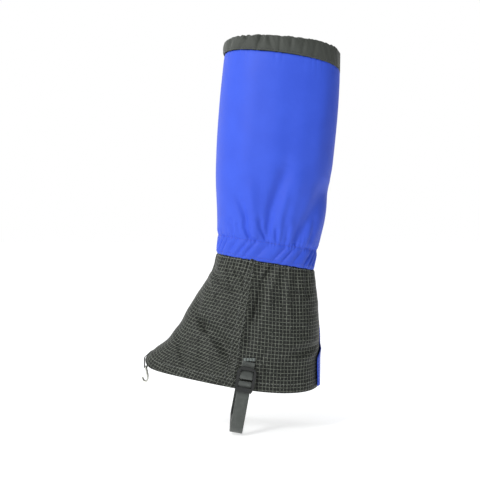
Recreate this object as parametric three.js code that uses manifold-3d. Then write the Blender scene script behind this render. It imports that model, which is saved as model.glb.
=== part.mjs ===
// A full-length hiking gaiter for the left leg, standing in its worn shape without the boot or the leg.
// Millimetres, +Z up, the toe towards -X and the outer side of the leg towards -Y.
// The origin is on the axis of the leg at the height of the ankle elastic.
import * as THREE from "three";
import { mergeVertices } from "three/addons/utils/BufferGeometryUtils.js";
import Module from "manifold-3d";

const wasm = await Module();
wasm.setup();

// ---- Driving dimensions ----

const CLOTH = 1.2; // thickness of the shell's panels
const GAP = 0.4; // clearance between pieces that touch on the real object

// The worn outline by height: height, front edge, half width, and egg, how much narrower the front is.
const STATIONS = [
  [-200, -170, 54, 0.42],
  [-133, -152, 53, 0.36],
  [-105, -121, 52, 0.28],
  [-60, -92.5, 50.5, 0.16],
  [-22, -69.5, 49.5, 0.06],
  [5, -63.5, 50.5, 0],
  [40, -62.5, 56, 0],
  [100, -65, 62.5, 0],
  [190, -59.5, 62, 0],
  [280, -51, 58.5, 0],
];
const SQUARENESS = 0.03;

// Behind the calf the outline follows one arc, and below the ankle these points: height, back edge.
const CALF = { radius: 1144, x: -1054, z: 253, bottom: 8, join: 33 };
const HEEL = [
  [-200, 62.5],
  [-135, 62.5],
  [-105, 64.5],
  [-60, 62.5],
  [-22, 58.5],
];

// The levels that go round the leg: height at the front, height at the back, and rise at the sides.
// The hem's sides sag more behind than in front (skew), and its nose rises to the ridge over the laces.
const RIM = { front: 260.5, back: 247, side: 3 };
const BAND_SEAM = { front: 245, back: 223, side: 2 };
const GATHER_LINE = { front: 20.5, back: 0, side: 0 };
const ANKLE_SEAM = { front: -1, back: -22, side: 0 };
const HEM = { front: -145, back: -165, side: -6, skew: 1.6, nose: 11, noseSpread: 0.42 };
const SIDE_SEAM = { x: -14, slope: 0.165 };

// The rear closure: a flat strip beside the back centreline, set in by recess.
const CLOSURE = { y: 20, flat: 20, fade: 32, recess: 6, heelRecess: 2, heelFrom: -60, heelOver: 70, edge: 5 };

// The zip, by height, by distance from its centreline, and by lift off the closure's flat strip.
const TAPE = { top: 218, bottom: -158, inner: 1.4, outer: 14, low: -2.3, high: -1.7 };
const COIL = { top: 213.7, bottom: -142, inner: 0.9, outer: 3.2, low: -1.3, high: 0.7, pitch: 5, notch: 0.4 };
const STOP = { low: 214, high: 217, inner: 0.7, outer: 3.4, lift: 1.1 };
const ZIP_BOX = { low: -157.5, high: -144.5, inner: 0.3, outer: 4.6, lift: 1.6 };
const ZIP_PIN = { low: -157.5, high: -142.3, inner: 0.9, outer: 2.9, lift: 0.7 };
const SLIDER = {
  z: 207, length: 13, halfWidth: 4.5, nose: 3.4, corner: 2, under: -3.4, top: 1.8, plate: 0.7,
  post: 0.5, postLow: 3, postHigh: 6, flange: 0.9, flangeLow: -1.2, flangeMiddle: 2.25,
};
const BAIL = { half: 4.2, width: 1.8, wall: 0.9, top: 4.6 };
const PULL = {
  length: 27, half: 3.7, neck: 2.6, neckEnd: 8, shoulder: 12, low: 2.3, high: 3.2,
  bar: 1.9, hole: 1.6, holeLow: -5.2,
};

// The flap over the zip: from its free edge to its sewn edge across the back, with its lift off the shell.
// It bulges over the slider's travel and lies flat below it. Over the heel it widens, so that its free edge
// wraps round towards the outer side.
const FLAP = {
  top: 182, bottom: -164, free: 1, rise: 11, full: 18.5, fall: 21.5, hinge: 28.5, sewn: 38,
  thick: 1, taped: 2.7, bulge: 5.4, edge: 0.7, flatBelow: 55, flatOver: 25,
  wrap: 28, wrapFrom: -110, wrapOver: 22, wrapLift: 1.8, wrapFall: -2, wrapFlat: -11,
};
const TOUCH_TAPE = { low: 1.5, high: 10.5, top: 178, bottom: -158, loop: [0.5, 1.2], hook: [1.6, 2.3] };
const TOP_TAB = {
  low: 223, high: 247.3, free: -1, taped: 12, hinge: 28.5, sewn: 44, thick: 1.2, lift: 4.8, edge: 1.8,
  patchFree: 0.5, patchEnd: 11, inset: 1, loop: [1.6, 2.8], hook: [3.2, 4.4],
};

// The band at the top is a folded tunnel, with lifts off the shell; the elastics lie in it and at the ankle.
const BAND = { outer: 1.2, outerWall: 0.3, innerWall: -2.2, inner: -3.1, fold: 0.95 };
const BAND_ELASTIC = { outer: -0.25, inner: -1.65, low: 0.15, high: 0.85, end: 0.01 };
const ANKLE_ELASTIC = { outer: -1.8, inner: -3, low: 0.12, high: 0.88, end: 15 };
const CASING = { outer: -3.6, inner: -4.3 };

// The foot strap hangs beside the side seam and leans towards the toe; y is to its mid-plane.
const STRAP = {
  width: 15.2, thick: 1.2, x: -23.6, y: 62, z: -127, lean: 10.5, depth: 90, corner: 12, split: 40.5, top: -4,
};
const TAIL = { step: 1.65, end: 76 };
const ANCHOR = { top: 0.6, bottom: -3.2, near: 0.4, far: 1.6, half: 7.8 };
// The ladder buckle, by drop from the strap's origin; its rails close in from the bars to the lip.
const BUCKLE = {
  width: 22.8, depth: 4.4, top: 9.5, bottom: 39.5, window: 16.2, corner: 7.5, bar: 1.3, lipWidth: 18,
  topBar: 3.5, anchorBar: 21.4, strapBar: 29.6, lipTop: 33.8, lipNear: 0.5, lipFar: 3, lipWall: 1, round: 2,
};
const WRAP = 2.25; // from a bar's axis to the middle of the webbing round it
const TAB = { front: 3.4, back: 4.95 }; // from the buckle's middle plane to the two layers of its tab

// The lace hook hangs from a loop of tape at the front of the hem.
const HOOK = { x: -152.5, z: -144, wire: 0.9, join: 0.4, hang: 16 };
// One half of its wire, by distance in front, beside and above: down the shank and round the bend to the tip.
const HOOK_SIDE = [
  [0, 3.1, 0],
  [-0.2, 4.3, -1.4],
  [-0.6, 4.3, -7],
  [-1.2, 3.7, -13],
  [-3.4, 3, -17.2],
  [-6.6, 2.2, -16.8],
  [-7.8, 1.4, -12.4],
];
const HOOK_TIP = [-7.9, 0, -11.6];
// Its tape runs down the front from the first point to the second, round the wire and up inside to the last.
const HOOK_TAB = {
  thick: 1,
  width: 6.2,
  front: [[-145.6, -124.6], [-154.2, -132.7]],
  inside: [[-150.2, -136.6], [-142.6, -128.6]],
};

// How finely the pieces are divided, round or across by up, and along their sweeps and curves.
const GRID = {
  upper: [46, 17], front: [24, 11], rear: [15, 11], zipTape: [5, 38], stop: [1, 1], fitting: [1, 2],
  flap: [16, 28], flapEdge: [4, 28], touchTape: [1, 28], tab: [10, 2], tabBase: [6, 2], patch: [1, 2],
  anchor: [6, 3],
};
const STEPS = { band: 46, ankle: 40, curve: 6, corner: 8, barTurn: 12, wire: 44, wireRound: 4 };
const SPREAD = 0.7; // how much a panel's columns crowd towards its ends
const SPREAD_START = 0.35; // the first column's width where they crowd towards one end
const MEET = { level: 8, angle: 36 }; // passes to meet a sloping level, and halvings to meet a coordinate
const BACK_HALF = [-1.5, 1.5]; // the angles that are searched behind the leg
const SIDE_HALF = [0.05, Math.PI]; // and on its outer side

// ---- Colours and finishes ----

const cloth = (color, roughness) => new THREE.MeshStandardMaterial({ color, roughness, metalness: 0 });
const metal = (color, roughness) => new THREE.MeshStandardMaterial({ color, roughness, metalness: 1 });
const LOOKS = {
  blue: cloth(0x3450e0, 0.6),
  grey: cloth(0x5c605c, 0.7),
  ripstop: cloth(0x484b46, 0.65),
  webbing: cloth(0x686d69, 0.8),
  elastic: cloth(0xd8d8d4, 0.85),
  touch: cloth(0x161617, 0.95),
  tape: cloth(0x20222a, 0.8),
  plastic: cloth(0x1c1d1f, 0.4),
  metal: metal(0xa9a99f, 0.3),
};

// ---- Curves of the worn shape ----

const lerp = THREE.MathUtils.lerp;
const clamp01 = (t) => Math.min(1, Math.max(0, t));
const ease = (t) => clamp01(t) ** 2 * (3 - 2 * clamp01(t));

// A smooth curve through rows of [height, value, ...], read at column k.
function through(rows, k, z) {
  const slope = (i) => {
    const a = rows[Math.max(0, i - 1)];
    const b = rows[Math.min(rows.length - 1, i + 1)];
    return (b[k] - a[k]) / (b[0] - a[0]);
  };
  let i = 0;
  while (i < rows.length - 2 && z > rows[i + 1][0]) i++;
  const [a, b] = [rows[i], rows[i + 1]];
  const h = b[0] - a[0];
  const t = (z - a[0]) / h;
  const rise = b[k] - a[k];
  const bend = (1 - t) * (slope(i) * h - rise) - t * (slope(i + 1) * h - rise);
  return a[k] + t * rise + t * (1 - t) * bend;
}

const calfArc = (z, inset) => CALF.x + Math.sqrt((CALF.radius - inset) ** 2 - (z - CALF.z) ** 2);
const CALF_JOIN = [CALF.bottom, CALF.join].map((z) => [z, calfArc(z, 0)]);
const LOWER_BACK = [...HEEL, ...CALF_JOIN];
const backEdge = (z) => (z >= CALF.bottom ? calfArc(z, 0) : through(LOWER_BACK, 1, z));

// How far the closure's flat strip lies inside the back edge.
const recess = (z) =>
  lerp(CLOSURE.recess, CLOSURE.heelRecess, ease((CLOSURE.heelFrom - z) / CLOSURE.heelOver));
const closureX = (z, lift = 0) =>
  z >= CALF.bottom ? calfArc(z, recess(z) - lift) : backEdge(z) - recess(z) + lift;

// The shell's outer surface. Angle 0 is the back, 90 degrees the outer side and 180 the front.
function skin(angle, z) {
  const [front, half, egg] = [1, 2, 3].map((k) => through(STATIONS, k, z));
  const back = backEdge(z);
  const squared = (wave, third) => (wave + SQUARENESS * third) / (1 - SQUARENESS);
  const along = squared(Math.cos(angle), -Math.cos(3 * angle));
  const across = squared(Math.sin(angle), Math.sin(3 * angle));
  let x = (front + back) / 2 + ((back - front) / 2) * along;
  const y = -half * across * (1 + egg * Math.cos(angle));
  if (Math.cos(angle) > 0) {
    const off = Math.abs(y - CLOSURE.y);
    const share = 1 - ease((off - CLOSURE.flat) / (CLOSURE.fade - CLOSURE.flat));
    const proud = x - closureX(z);
    x -= (share * (proud + Math.sqrt(proud * proud + 1))) / 2;
  }
  return new THREE.Vector3(x, y, z);
}

// A point on the shell, moved outwards by lift.
function onSkin(angle, z, lift) {
  const step = 1e-3;
  const round = skin(angle + step, z).sub(skin(angle - step, z));
  const up = skin(angle, z + step).sub(skin(angle, z - step));
  return skin(angle, z).addScaledVector(up.cross(round).normalize(), lift);
}

// The angle between low and high where the shell's coordinate (x or y) has a value.
function angleWhere(coordinate, value, z, low, high) {
  for (let i = 0; i < MEET.angle; i++) {
    const middle = (low + high) / 2;
    if (skin(middle, z)[coordinate] > value) low = middle;
    else high = middle;
  }
  return (low + high) / 2;
}
const behind = (y, z) => angleWhere("y", y, z, ...BACK_HALF);
const sideSeam = (z) => angleWhere("x", SIDE_SEAM.x + SIDE_SEAM.slope * z, z, ...SIDE_HALF);
const atBack = (y, z, lift) => onSkin(behind(y, z), z, lift);
const flatBack = (y, z, lift) => new THREE.Vector3(closureX(z, lift), y, z);

function levelAt({ front, back, side, skew = 0, nose = 0, noseSpread = 1 }, angle) {
  const cos = Math.cos(angle);
  const sides = side * Math.sin(angle) ** 2 * (1 + skew * cos);
  return lerp(back, front, (1 - cos) / 2) + sides + nose * Math.exp(-(((angle - Math.PI) / noseSpread) ** 2));
}

// The ways round the shell that panels end at, as angles by height.
const TURN = 2 * Math.PI;
const edges = {
  closureOuter: (z) => behind(CLOSURE.y - CLOSURE.edge, z),
  closureInner: (z) => TURN + behind(CLOSURE.y + CLOSURE.edge, z),
  elasticOuter: (z) => behind(CLOSURE.y - ANKLE_ELASTIC.end, z),
  elasticInner: (z) => TURN + behind(CLOSURE.y + ANKLE_ELASTIC.end, z),
  seamOuter: (z) => sideSeam(z),
  seamInner: (z) => TURN - sideSeam(z),
};

// A point of a panel: u goes round from one edge to the other, and v up from one level to the next.
function panelPoint(u, v, from, to, low, high, lift, trim = 0) {
  let z = lerp(low.back, high.back, v);
  let angle = 0;
  for (let i = 0; i < MEET.level; i++) {
    angle = lerp(from(z), to(z), u);
    z = lerp(levelAt(low, angle) + trim, levelAt(high, angle) - trim, v);
  }
  return onSkin(angle, z, lift);
}

// ---- Solids ----

function solid(positions, triangles) {
  const flat = new Float32Array(positions.flatMap((p) => [p.x, p.y, p.z]));
  let volume = 0;
  for (const [a, b, c] of triangles) {
    volume += positions[a].dot(new THREE.Vector3().crossVectors(positions[b], positions[c]));
  }
  const index = triangles.flatMap(([a, b, c]) => (volume < 0 ? [a, c, b] : [a, b, c]));
  const geometry = new THREE.BufferGeometry();
  geometry.setAttribute("position", new THREE.BufferAttribute(flat, 3));
  geometry.setIndex(index);
  return geometry;
}

// A closed sheet: at(u, v, face) gives its points, with face 0 inside and 1 outside.
function sheet([columns, rows], at) {
  const positions = [];
  const id = (i, j, face) => (face * (rows + 1) + j) * (columns + 1) + i;
  for (const face of [0, 1]) {
    for (let j = 0; j <= rows; j++) {
      for (let i = 0; i <= columns; i++) positions.push(at(i / columns, j / rows, face));
    }
  }
  const triangles = [];
  const quad = (a, b, c, d) => triangles.push([a, b, c], [a, c, d]);
  for (let j = 0; j < rows; j++) {
    for (let i = 0; i < columns; i++) {
      quad(id(i, j, 1), id(i + 1, j, 1), id(i + 1, j + 1, 1), id(i, j + 1, 1));
      quad(id(i, j, 0), id(i, j + 1, 0), id(i + 1, j + 1, 0), id(i + 1, j, 0));
    }
  }
  for (let i = 0; i < columns; i++) {
    quad(id(i, 0, 0), id(i + 1, 0, 0), id(i + 1, 0, 1), id(i, 0, 1));
    quad(id(i, rows, 1), id(i + 1, rows, 1), id(i + 1, rows, 0), id(i, rows, 0));
  }
  for (let j = 0; j < rows; j++) {
    quad(id(0, j, 1), id(0, j + 1, 1), id(0, j + 1, 0), id(0, j, 0));
    quad(id(columns, j, 0), id(columns, j + 1, 0), id(columns, j + 1, 1), id(columns, j, 1));
  }
  return solid(positions, triangles);
}

// A closed bar whose section, a list of [lift, height] pairs, is carried round by place(u, lift, height).
function carried(section, steps, place) {
  const positions = [];
  for (let i = 0; i <= steps; i++) {
    for (const [lift, height] of section) positions.push(place(i / steps, lift, height));
  }
  const count = section.length;
  const triangles = [];
  for (let i = 0; i < steps; i++) {
    for (let k = 0; k < count; k++) {
      const [a, b] = [i * count + k, i * count + ((k + 1) % count)];
      triangles.push([a, b, b + count], [a, b + count, a + count]);
    }
  }
  const caps = THREE.ShapeUtils.triangulateShape(section.map(([x, y]) => new THREE.Vector2(x, y)), []);
  const clockwise = THREE.ShapeUtils.isClockWise(section.map(([x, y]) => new THREE.Vector2(x, y)));
  for (const [a, b, c] of caps) {
    const [p, q] = clockwise ? [b, c] : [c, b];
    const end = steps * count;
    triangles.push([a, p, q], [end + a, end + q, end + p]);
  }
  return solid(positions, triangles);
}

function toManifold(geometry) {
  const bare = new THREE.BufferGeometry();
  bare.setAttribute("position", geometry.getAttribute("position").clone());
  if (geometry.index) bare.setIndex(geometry.index.clone());
  const merged = mergeVertices(bare, 1e-4);
  return new wasm.Manifold(
    new wasm.Mesh({
      numProp: 3,
      vertProperties: new Float32Array(merged.getAttribute("position").array),
      triVerts: new Uint32Array(merged.index.array),
    }),
  );
}

function fromManifold(body) {
  const mesh = body.getMesh();
  const geometry = new THREE.BufferGeometry();
  geometry.setAttribute("position", new THREE.BufferAttribute(mesh.vertProperties.slice(), 3));
  geometry.setIndex([...mesh.triVerts]);
  return geometry;
}

const joined = (first, ...rest) =>
  fromManifold(rest.reduce((body, next) => body.add(toManifold(next)), toManifold(first)));
const cut = (first, ...rest) =>
  fromManifold(rest.reduce((body, next) => body.subtract(toManifold(next)), toManifold(first)));

const box = (x, y, z, at = [0, 0, 0]) => new THREE.BoxGeometry(x, y, z).translate(...at);
const plate = (shape, depth) =>
  new THREE.ExtrudeGeometry(shape, { depth, bevelEnabled: false, curveSegments: STEPS.curve });

// The outline of a ribbon of a given thickness along a flat path of [x, y] points, offset to both sides.
function ribbon(path, thick) {
  const points = path.map(([x, y]) => new THREE.Vector2(x, y));
  const side = (sign) =>
    points.map((point, i) => {
      const before = points[Math.max(0, i - 1)];
      const after = points[Math.min(points.length - 1, i + 1)];
      const a = point.clone().sub(before).normalize();
      const b = after.clone().sub(point).normalize();
      const along = a.add(b).normalize();
      const spread = Math.max(0.6, Math.sqrt((1 + (i && i < points.length - 1 ? a.dot(b) : 1)) / 2));
      const across = new THREE.Vector2(-along.y, along.x);
      return point.clone().addScaledVector(across, (sign * thick) / 2 / spread);
    });
  return new THREE.Shape([...side(1), ...side(-1).reverse()]);
}

const part = new THREE.Group();
part.name = "gaiter";

function add(parent, name, geometry, look) {
  const mesh = new THREE.Mesh(geometry, LOOKS[look]);
  mesh.name = name;
  parent.add(mesh);
  return mesh;
}

// ---- The shell ----

// Spreads columns so that they crowd towards both ends, where the shell bends most.
const crowd = (u) => u - (SPREAD * Math.sin(TURN * u)) / TURN;
const crowdStart = (u) => u * lerp(SPREAD_START, 1, u);
const crowdEnd = (u) => 1 - crowdStart(1 - u);

function panel(name, grid, from, to, low, high, spread, look) {
  const at = (u, v, face) =>
    panelPoint(spread(u), v, from, to, low, high, face ? 0 : -CLOTH, GAP / 2);
  return add(part, name, sheet(grid, at), look);
}

function buildShell() {
  const { closureOuter, closureInner, seamOuter, seamInner } = edges;
  const afterSeam = (seam, side) => (z) => seam(z) + (side * GAP) / 2 / STATIONS[0][2];
  panel("upper_shell", GRID.upper, closureOuter, closureInner, ANKLE_SEAM, BAND_SEAM, crowd, "blue");
  panel("lower_front_panel", GRID.front, afterSeam(seamOuter, 1), afterSeam(seamInner, -1), HEM, ANKLE_SEAM,
    (u) => u, "ripstop");
  panel("lower_rear_panel_outer", GRID.rear, closureOuter, afterSeam(seamOuter, -1), HEM, ANKLE_SEAM,
    crowdStart, "ripstop");
  panel("lower_rear_panel_inner", GRID.rear, afterSeam(seamInner, 1), closureInner, HEM, ANKLE_SEAM,
    crowdEnd, "ripstop");
}

// A bar all round the leg between two levels; its section is in lift and share of the height.
function roundLeg(name, section, steps, from, to, low, high, look, end = 0) {
  const place = (u, lift, v) =>
    panelPoint(crowd(lerp(end, 1 - end, u)), v, from, to, low, high, lift, GAP / 2);
  return add(part, name, carried(section, steps, place), look);
}

const strip = (outer, inner, low, high) => [[outer, low], [outer, high], [inner, high], [inner, low]];

function buildBandAndElastics() {
  const { closureOuter, closureInner, elasticOuter, elasticInner } = edges;
  const tunnel = [
    [BAND.outer, 0], [BAND.outer, 1], [BAND.inner, 1], [BAND.inner, 0],
    [BAND.innerWall, 0], [BAND.innerWall, BAND.fold], [BAND.outerWall, BAND.fold], [BAND.outerWall, 0],
  ];
  roundLeg("top_band", tunnel, STEPS.band, closureOuter, closureInner, BAND_SEAM, RIM, "grey");
  const { outer, inner, low, high, end } = BAND_ELASTIC;
  roundLeg("top_elastic", strip(outer, inner, low, high), STEPS.band, closureOuter, closureInner, BAND_SEAM,
    RIM, "elastic", end);
  const ankle = strip(ANKLE_ELASTIC.outer, ANKLE_ELASTIC.inner, ANKLE_ELASTIC.low, ANKLE_ELASTIC.high);
  roundLeg("ankle_elastic", ankle, STEPS.ankle, elasticOuter, elasticInner, ANKLE_SEAM, GATHER_LINE,
    "elastic");
  roundLeg("ankle_casing", strip(CASING.outer, CASING.inner, 0, 1), STEPS.ankle, elasticOuter, elasticInner,
    ANKLE_SEAM, GATHER_LINE, "blue");
}

// ---- The zip ----

// A strip along the closure, from near to far from its centreline on one side (-1 outer, 1 inner).
function closureStrip(name, side, grid, bottom, top, near, far, low, high, look) {
  const at = (u, v, face) =>
    flatBack(CLOSURE.y + side * lerp(near, far, u), lerp(bottom, top, v), face ? high : low);
  return add(part, name, sheet(grid, at), look);
}

// One side's coil: a bar whose inner edge and top are notched at every half turn.
function coil(name, side) {
  const rows = 2 * Math.round((COIL.top - COIL.bottom) / COIL.pitch);
  const at = (u, v, face) => {
    const z = lerp(COIL.bottom, COIL.top, v);
    const notch = Math.round(v * rows) % 2 ? COIL.notch : 0;
    const out = lerp(COIL.inner + notch, COIL.outer, u);
    return flatBack(CLOSURE.y + side * out, z, face ? COIL.high - notch : COIL.low);
  };
  return add(part, name, sheet([1, rows], at), "tape");
}

function buildZip() {
  for (const [side, sideName] of [[-1, "outer"], [1, "inner"]]) {
    const tape = (u, v, face) => {
      const y = CLOSURE.y + side * lerp(TAPE.inner, TAPE.outer, u);
      return atBack(y, lerp(TAPE.bottom, TAPE.top, v), face ? TAPE.high : TAPE.low);
    };
    add(part, `zip_tape_${sideName}`, sheet(GRID.zipTape, tape), "tape");
    coil(`zip_coil_${sideName}`, side);
    closureStrip(`zip_stop_${sideName}`, side, GRID.stop, STOP.low, STOP.high, STOP.inner, STOP.outer,
      COIL.low, STOP.lift, "metal");
  }
  closureStrip("zip_box", 1, GRID.fitting, ZIP_BOX.low, ZIP_BOX.high, ZIP_BOX.inner, ZIP_BOX.outer,
    COIL.low, ZIP_BOX.lift, "plastic");
  closureStrip("zip_pin", -1, GRID.fitting, ZIP_PIN.low, ZIP_PIN.high, ZIP_PIN.inner, ZIP_PIN.outer,
    COIL.low, ZIP_PIN.lift, "plastic");
}

// The slider and its pull are drawn about a point on the closure, with +X out of it.
function buildSlider() {
  const group = new THREE.Group();
  group.name = "slider";
  group.position.set(closureX(SLIDER.z), CLOSURE.y, SLIDER.z);
  group.rotation.y = Math.asin((CALF.z - SLIDER.z) / (CALF.radius - CLOSURE.recess));
  part.add(group);

  const half = SLIDER.length / 2;
  const { halfWidth, corner } = SLIDER;
  const outline = new THREE.Shape();
  outline.moveTo(halfWidth, half - corner);
  outline.quadraticCurveTo(halfWidth, half, halfWidth - corner, half);
  outline.lineTo(corner - halfWidth, half);
  outline.quadraticCurveTo(-halfWidth, half, -halfWidth, half - corner);
  outline.lineTo(-SLIDER.nose, -half);
  outline.lineTo(SLIDER.nose, -half);
  // A shape drawn in y and z becomes a plate whose lowest face is at a lift.
  const facing = (shape, low, high) =>
    plate(shape, high - low).rotateX(Math.PI / 2).rotateZ(Math.PI / 2).translate(low, 0, 0);
  const post = box(SLIDER.top - SLIDER.under, 2 * SLIDER.post, SLIDER.postHigh - SLIDER.postLow,
    [(SLIDER.top + SLIDER.under) / 2, 0, (SLIDER.postHigh + SLIDER.postLow) / 2]);
  const flanges = [-1, 1].map((side) =>
    box(SLIDER.top - SLIDER.flangeLow, SLIDER.flange, half,
      [(SLIDER.top + SLIDER.flangeLow) / 2, side * (halfWidth - SLIDER.flange / 2), SLIDER.flangeMiddle]));
  const arch = cut(
    box(BAIL.top - SLIDER.top + SLIDER.plate / 2, BAIL.width, 2 * BAIL.half,
      [(BAIL.top + SLIDER.top - SLIDER.plate / 2) / 2, 0, 0]),
    box(BAIL.top - BAIL.wall - SLIDER.top, 2 * BAIL.width, 2 * (BAIL.half - BAIL.wall),
      [(BAIL.top - BAIL.wall + SLIDER.top) / 2, 0, 0]),
  );
  const plates = [facing(outline, SLIDER.under, SLIDER.under + SLIDER.plate),
    facing(outline, SLIDER.top - SLIDER.plate, SLIDER.top)];
  add(group, "zip_slider", joined(...plates, post, ...flanges, arch), "metal");

  const pull = new THREE.Shape();
  const end = BAIL.half - BAIL.wall - GAP - PULL.bar;
  const top = end + PULL.bar;
  pull.moveTo(-PULL.neck, top);
  pull.lineTo(PULL.neck, top);
  pull.lineTo(PULL.neck, top - PULL.neckEnd);
  pull.lineTo(PULL.half, top - PULL.shoulder);
  pull.lineTo(PULL.half, top - PULL.length + PULL.half);
  pull.absarc(0, top - PULL.length + PULL.half, PULL.half, 0, -Math.PI, true);
  pull.lineTo(-PULL.half, top - PULL.shoulder);
  pull.lineTo(-PULL.neck, top - PULL.neckEnd);
  const hole = new THREE.Path();
  hole.moveTo(-PULL.hole, PULL.holeLow);
  hole.lineTo(PULL.hole, PULL.holeLow);
  hole.lineTo(PULL.hole, end);
  hole.lineTo(-PULL.hole, end);
  pull.holes.push(hole);
  add(group, "zip_pull", facing(pull, PULL.low, PULL.high), "metal");
}

// ---- The flap and the tab across the closure ----

// A sheet over the closure between two distances and two heights. The near distance may depend on the height,
// and the lift on the distance.
function acrossBack(name, grid, place, near, far, bottom, top, liftAt, thick, look) {
  const at = (u, v, face) => {
    const z = lerp(bottom, top, v);
    const y = lerp(typeof near === "function" ? near(z) : near, far, u);
    return place(y, z, liftAt(y, z) + (face ? thick : 0));
  };
  return add(part, name, sheet(grid, at), look);
}
const ramp = (from, to, y) => clamp01((y - from) / (to - from));

function buildFlap() {
  const lift = (y, z) => {
    const bulge = lerp(FLAP.bulge, FLAP.taped, ease((FLAP.flatBelow - z) / FLAP.flatOver));
    return FLAP.taped + (bulge - FLAP.taped) * ramp(FLAP.rise, FLAP.full, y) +
      (FLAP.edge - bulge) * ramp(FLAP.fall, FLAP.hinge, y) +
      (FLAP.wrapLift - FLAP.taped) * ramp(FLAP.wrapFall, FLAP.wrapFlat, y);
  };
  const { free, hinge, sewn, edge, thick } = FLAP;
  const freeAt = (z) => free - FLAP.wrap * ease((FLAP.wrapFrom - z) / FLAP.wrapOver);
  const overBack = (y, z, out) => (y < free ? atBack : flatBack)(y, z, out);
  acrossBack("storm_flap", GRID.flap, overBack, freeAt, hinge, FLAP.bottom, FLAP.top, lift, thick, "blue");
  acrossBack("flap_sewn_edge", GRID.flapEdge, atBack, hinge + GAP, sewn, FLAP.bottom, FLAP.top,
    () => edge, thick, "blue");
  const { low, high, bottom, top } = TOUCH_TAPE;
  for (const [name, [under, over]] of [["loop", TOUCH_TAPE.loop], ["hook", TOUCH_TAPE.hook]]) {
    acrossBack(`flap_${name}_tape`, GRID.touchTape, flatBack, low, high, bottom, top,
      () => under, over - under, "touch");
  }
}

function buildTopTab() {
  const { low, high, free, taped, hinge, sewn, thick, edge, patchFree, patchEnd, inset } = TOP_TAB;
  const lift = (y) => lerp(TOP_TAB.lift, edge, ramp(taped, hinge, y));
  acrossBack("top_tab", GRID.tab, flatBack, free, hinge, low, high, lift, thick, "touch");
  acrossBack("top_tab_base", GRID.tabBase, atBack, hinge + GAP, sewn, low, high, () => edge, thick, "touch");
  const patch = (name, bottom, [under, over]) =>
    acrossBack(name, GRID.patch, flatBack, patchFree, patchEnd, bottom, high - inset,
      () => under, over - under, "touch");
  patch("top_tab_loop_patch", BAND_SEAM.back + inset, TOP_TAB.loop);
  patch("top_tab_hook_patch", low + inset, TOP_TAB.hook);
}

// ---- The foot strap and its buckle ----

// Webbing along a path of [y, z] points, centred on the strap's plane.
const webbing = (path, thick, width) =>
  plate(ribbon(path, thick), width).translate(0, 0, -width / 2).rotateX(Math.PI / 2).rotateZ(Math.PI / 2);

// The points of an arc in y and z, by its centre, its radius, and its start and end in half turns.
function arc(y, z, radius, start, end, steps = STEPS.corner) {
  return Array.from({ length: steps + 1 }, (_, i) => {
    const angle = Math.PI * lerp(start, end, i / steps);
    return [y + radius * Math.cos(angle), z + radius * Math.sin(angle)];
  });
}

function buildAnchor(name, side) {
  const at = (u, v, face) => {
    const z = STRAP.z + lerp(ANCHOR.bottom, ANCHOR.top, v);
    const x = STRAP.x + lerp(-ANCHOR.half, ANCHOR.half, u);
    const angle = side * angleWhere("x", x, z, ...SIDE_HALF);
    return onSkin(angle, z, face ? ANCHOR.far : ANCHOR.near);
  };
  return add(part, name, sheet(GRID.anchor, at), "webbing");
}

function buildStrap() {
  const strapGroup = new THREE.Group();
  strapGroup.name = "strap";
  strapGroup.position.set(STRAP.x, 0, STRAP.z);
  strapGroup.rotation.y = THREE.MathUtils.degToRad(STRAP.lean);
  part.add(strapGroup);
  const { y, depth, corner, split } = STRAP;
  const inside = y - corner;

  const under = [
    [-y, -split],
    ...arc(-inside, corner - depth, corner, 1, 1.5),
    ...arc(inside, corner - depth, corner, 1.5, 2),
    [y, STRAP.top],
  ];
  add(strapGroup, "foot_strap", webbing(under, STRAP.thick, STRAP.width), "webbing");
  const tail = [[TAIL.step - y, -split], [TAIL.step - y, -TAIL.end]];
  add(strapGroup, "strap_free_end", webbing(tail, STRAP.thick, STRAP.width), "webbing");

  const frameY = -y - (WRAP - TAIL.step);
  buildBuckle(strapGroup, frameY);
  const overBar = [
    [TAIL.step - y, GAP - split],
    ...arc(frameY, -BUCKLE.strapBar, WRAP, 0, 1.25, STEPS.barTurn),
    [-y, -BUCKLE.lipTop + GAP],
    [-y, GAP - split],
  ];
  add(strapGroup, "foot_strap_in_buckle", webbing(overBar, STRAP.thick, STRAP.width), "webbing");
  const underTopBar = -BUCKLE.top - BUCKLE.topBar;
  const tab = [
    [frameY + TAB.back, STRAP.top],
    [frameY + TAB.back, underTopBar],
    ...arc(frameY, -BUCKLE.anchorBar, WRAP, 0, -1, STEPS.barTurn),
    [frameY + TAB.front, underTopBar],
    [frameY + TAB.front, STRAP.top],
  ];
  add(strapGroup, "buckle_tab", webbing(tab, STRAP.thick, STRAP.width), "webbing");
}

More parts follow.
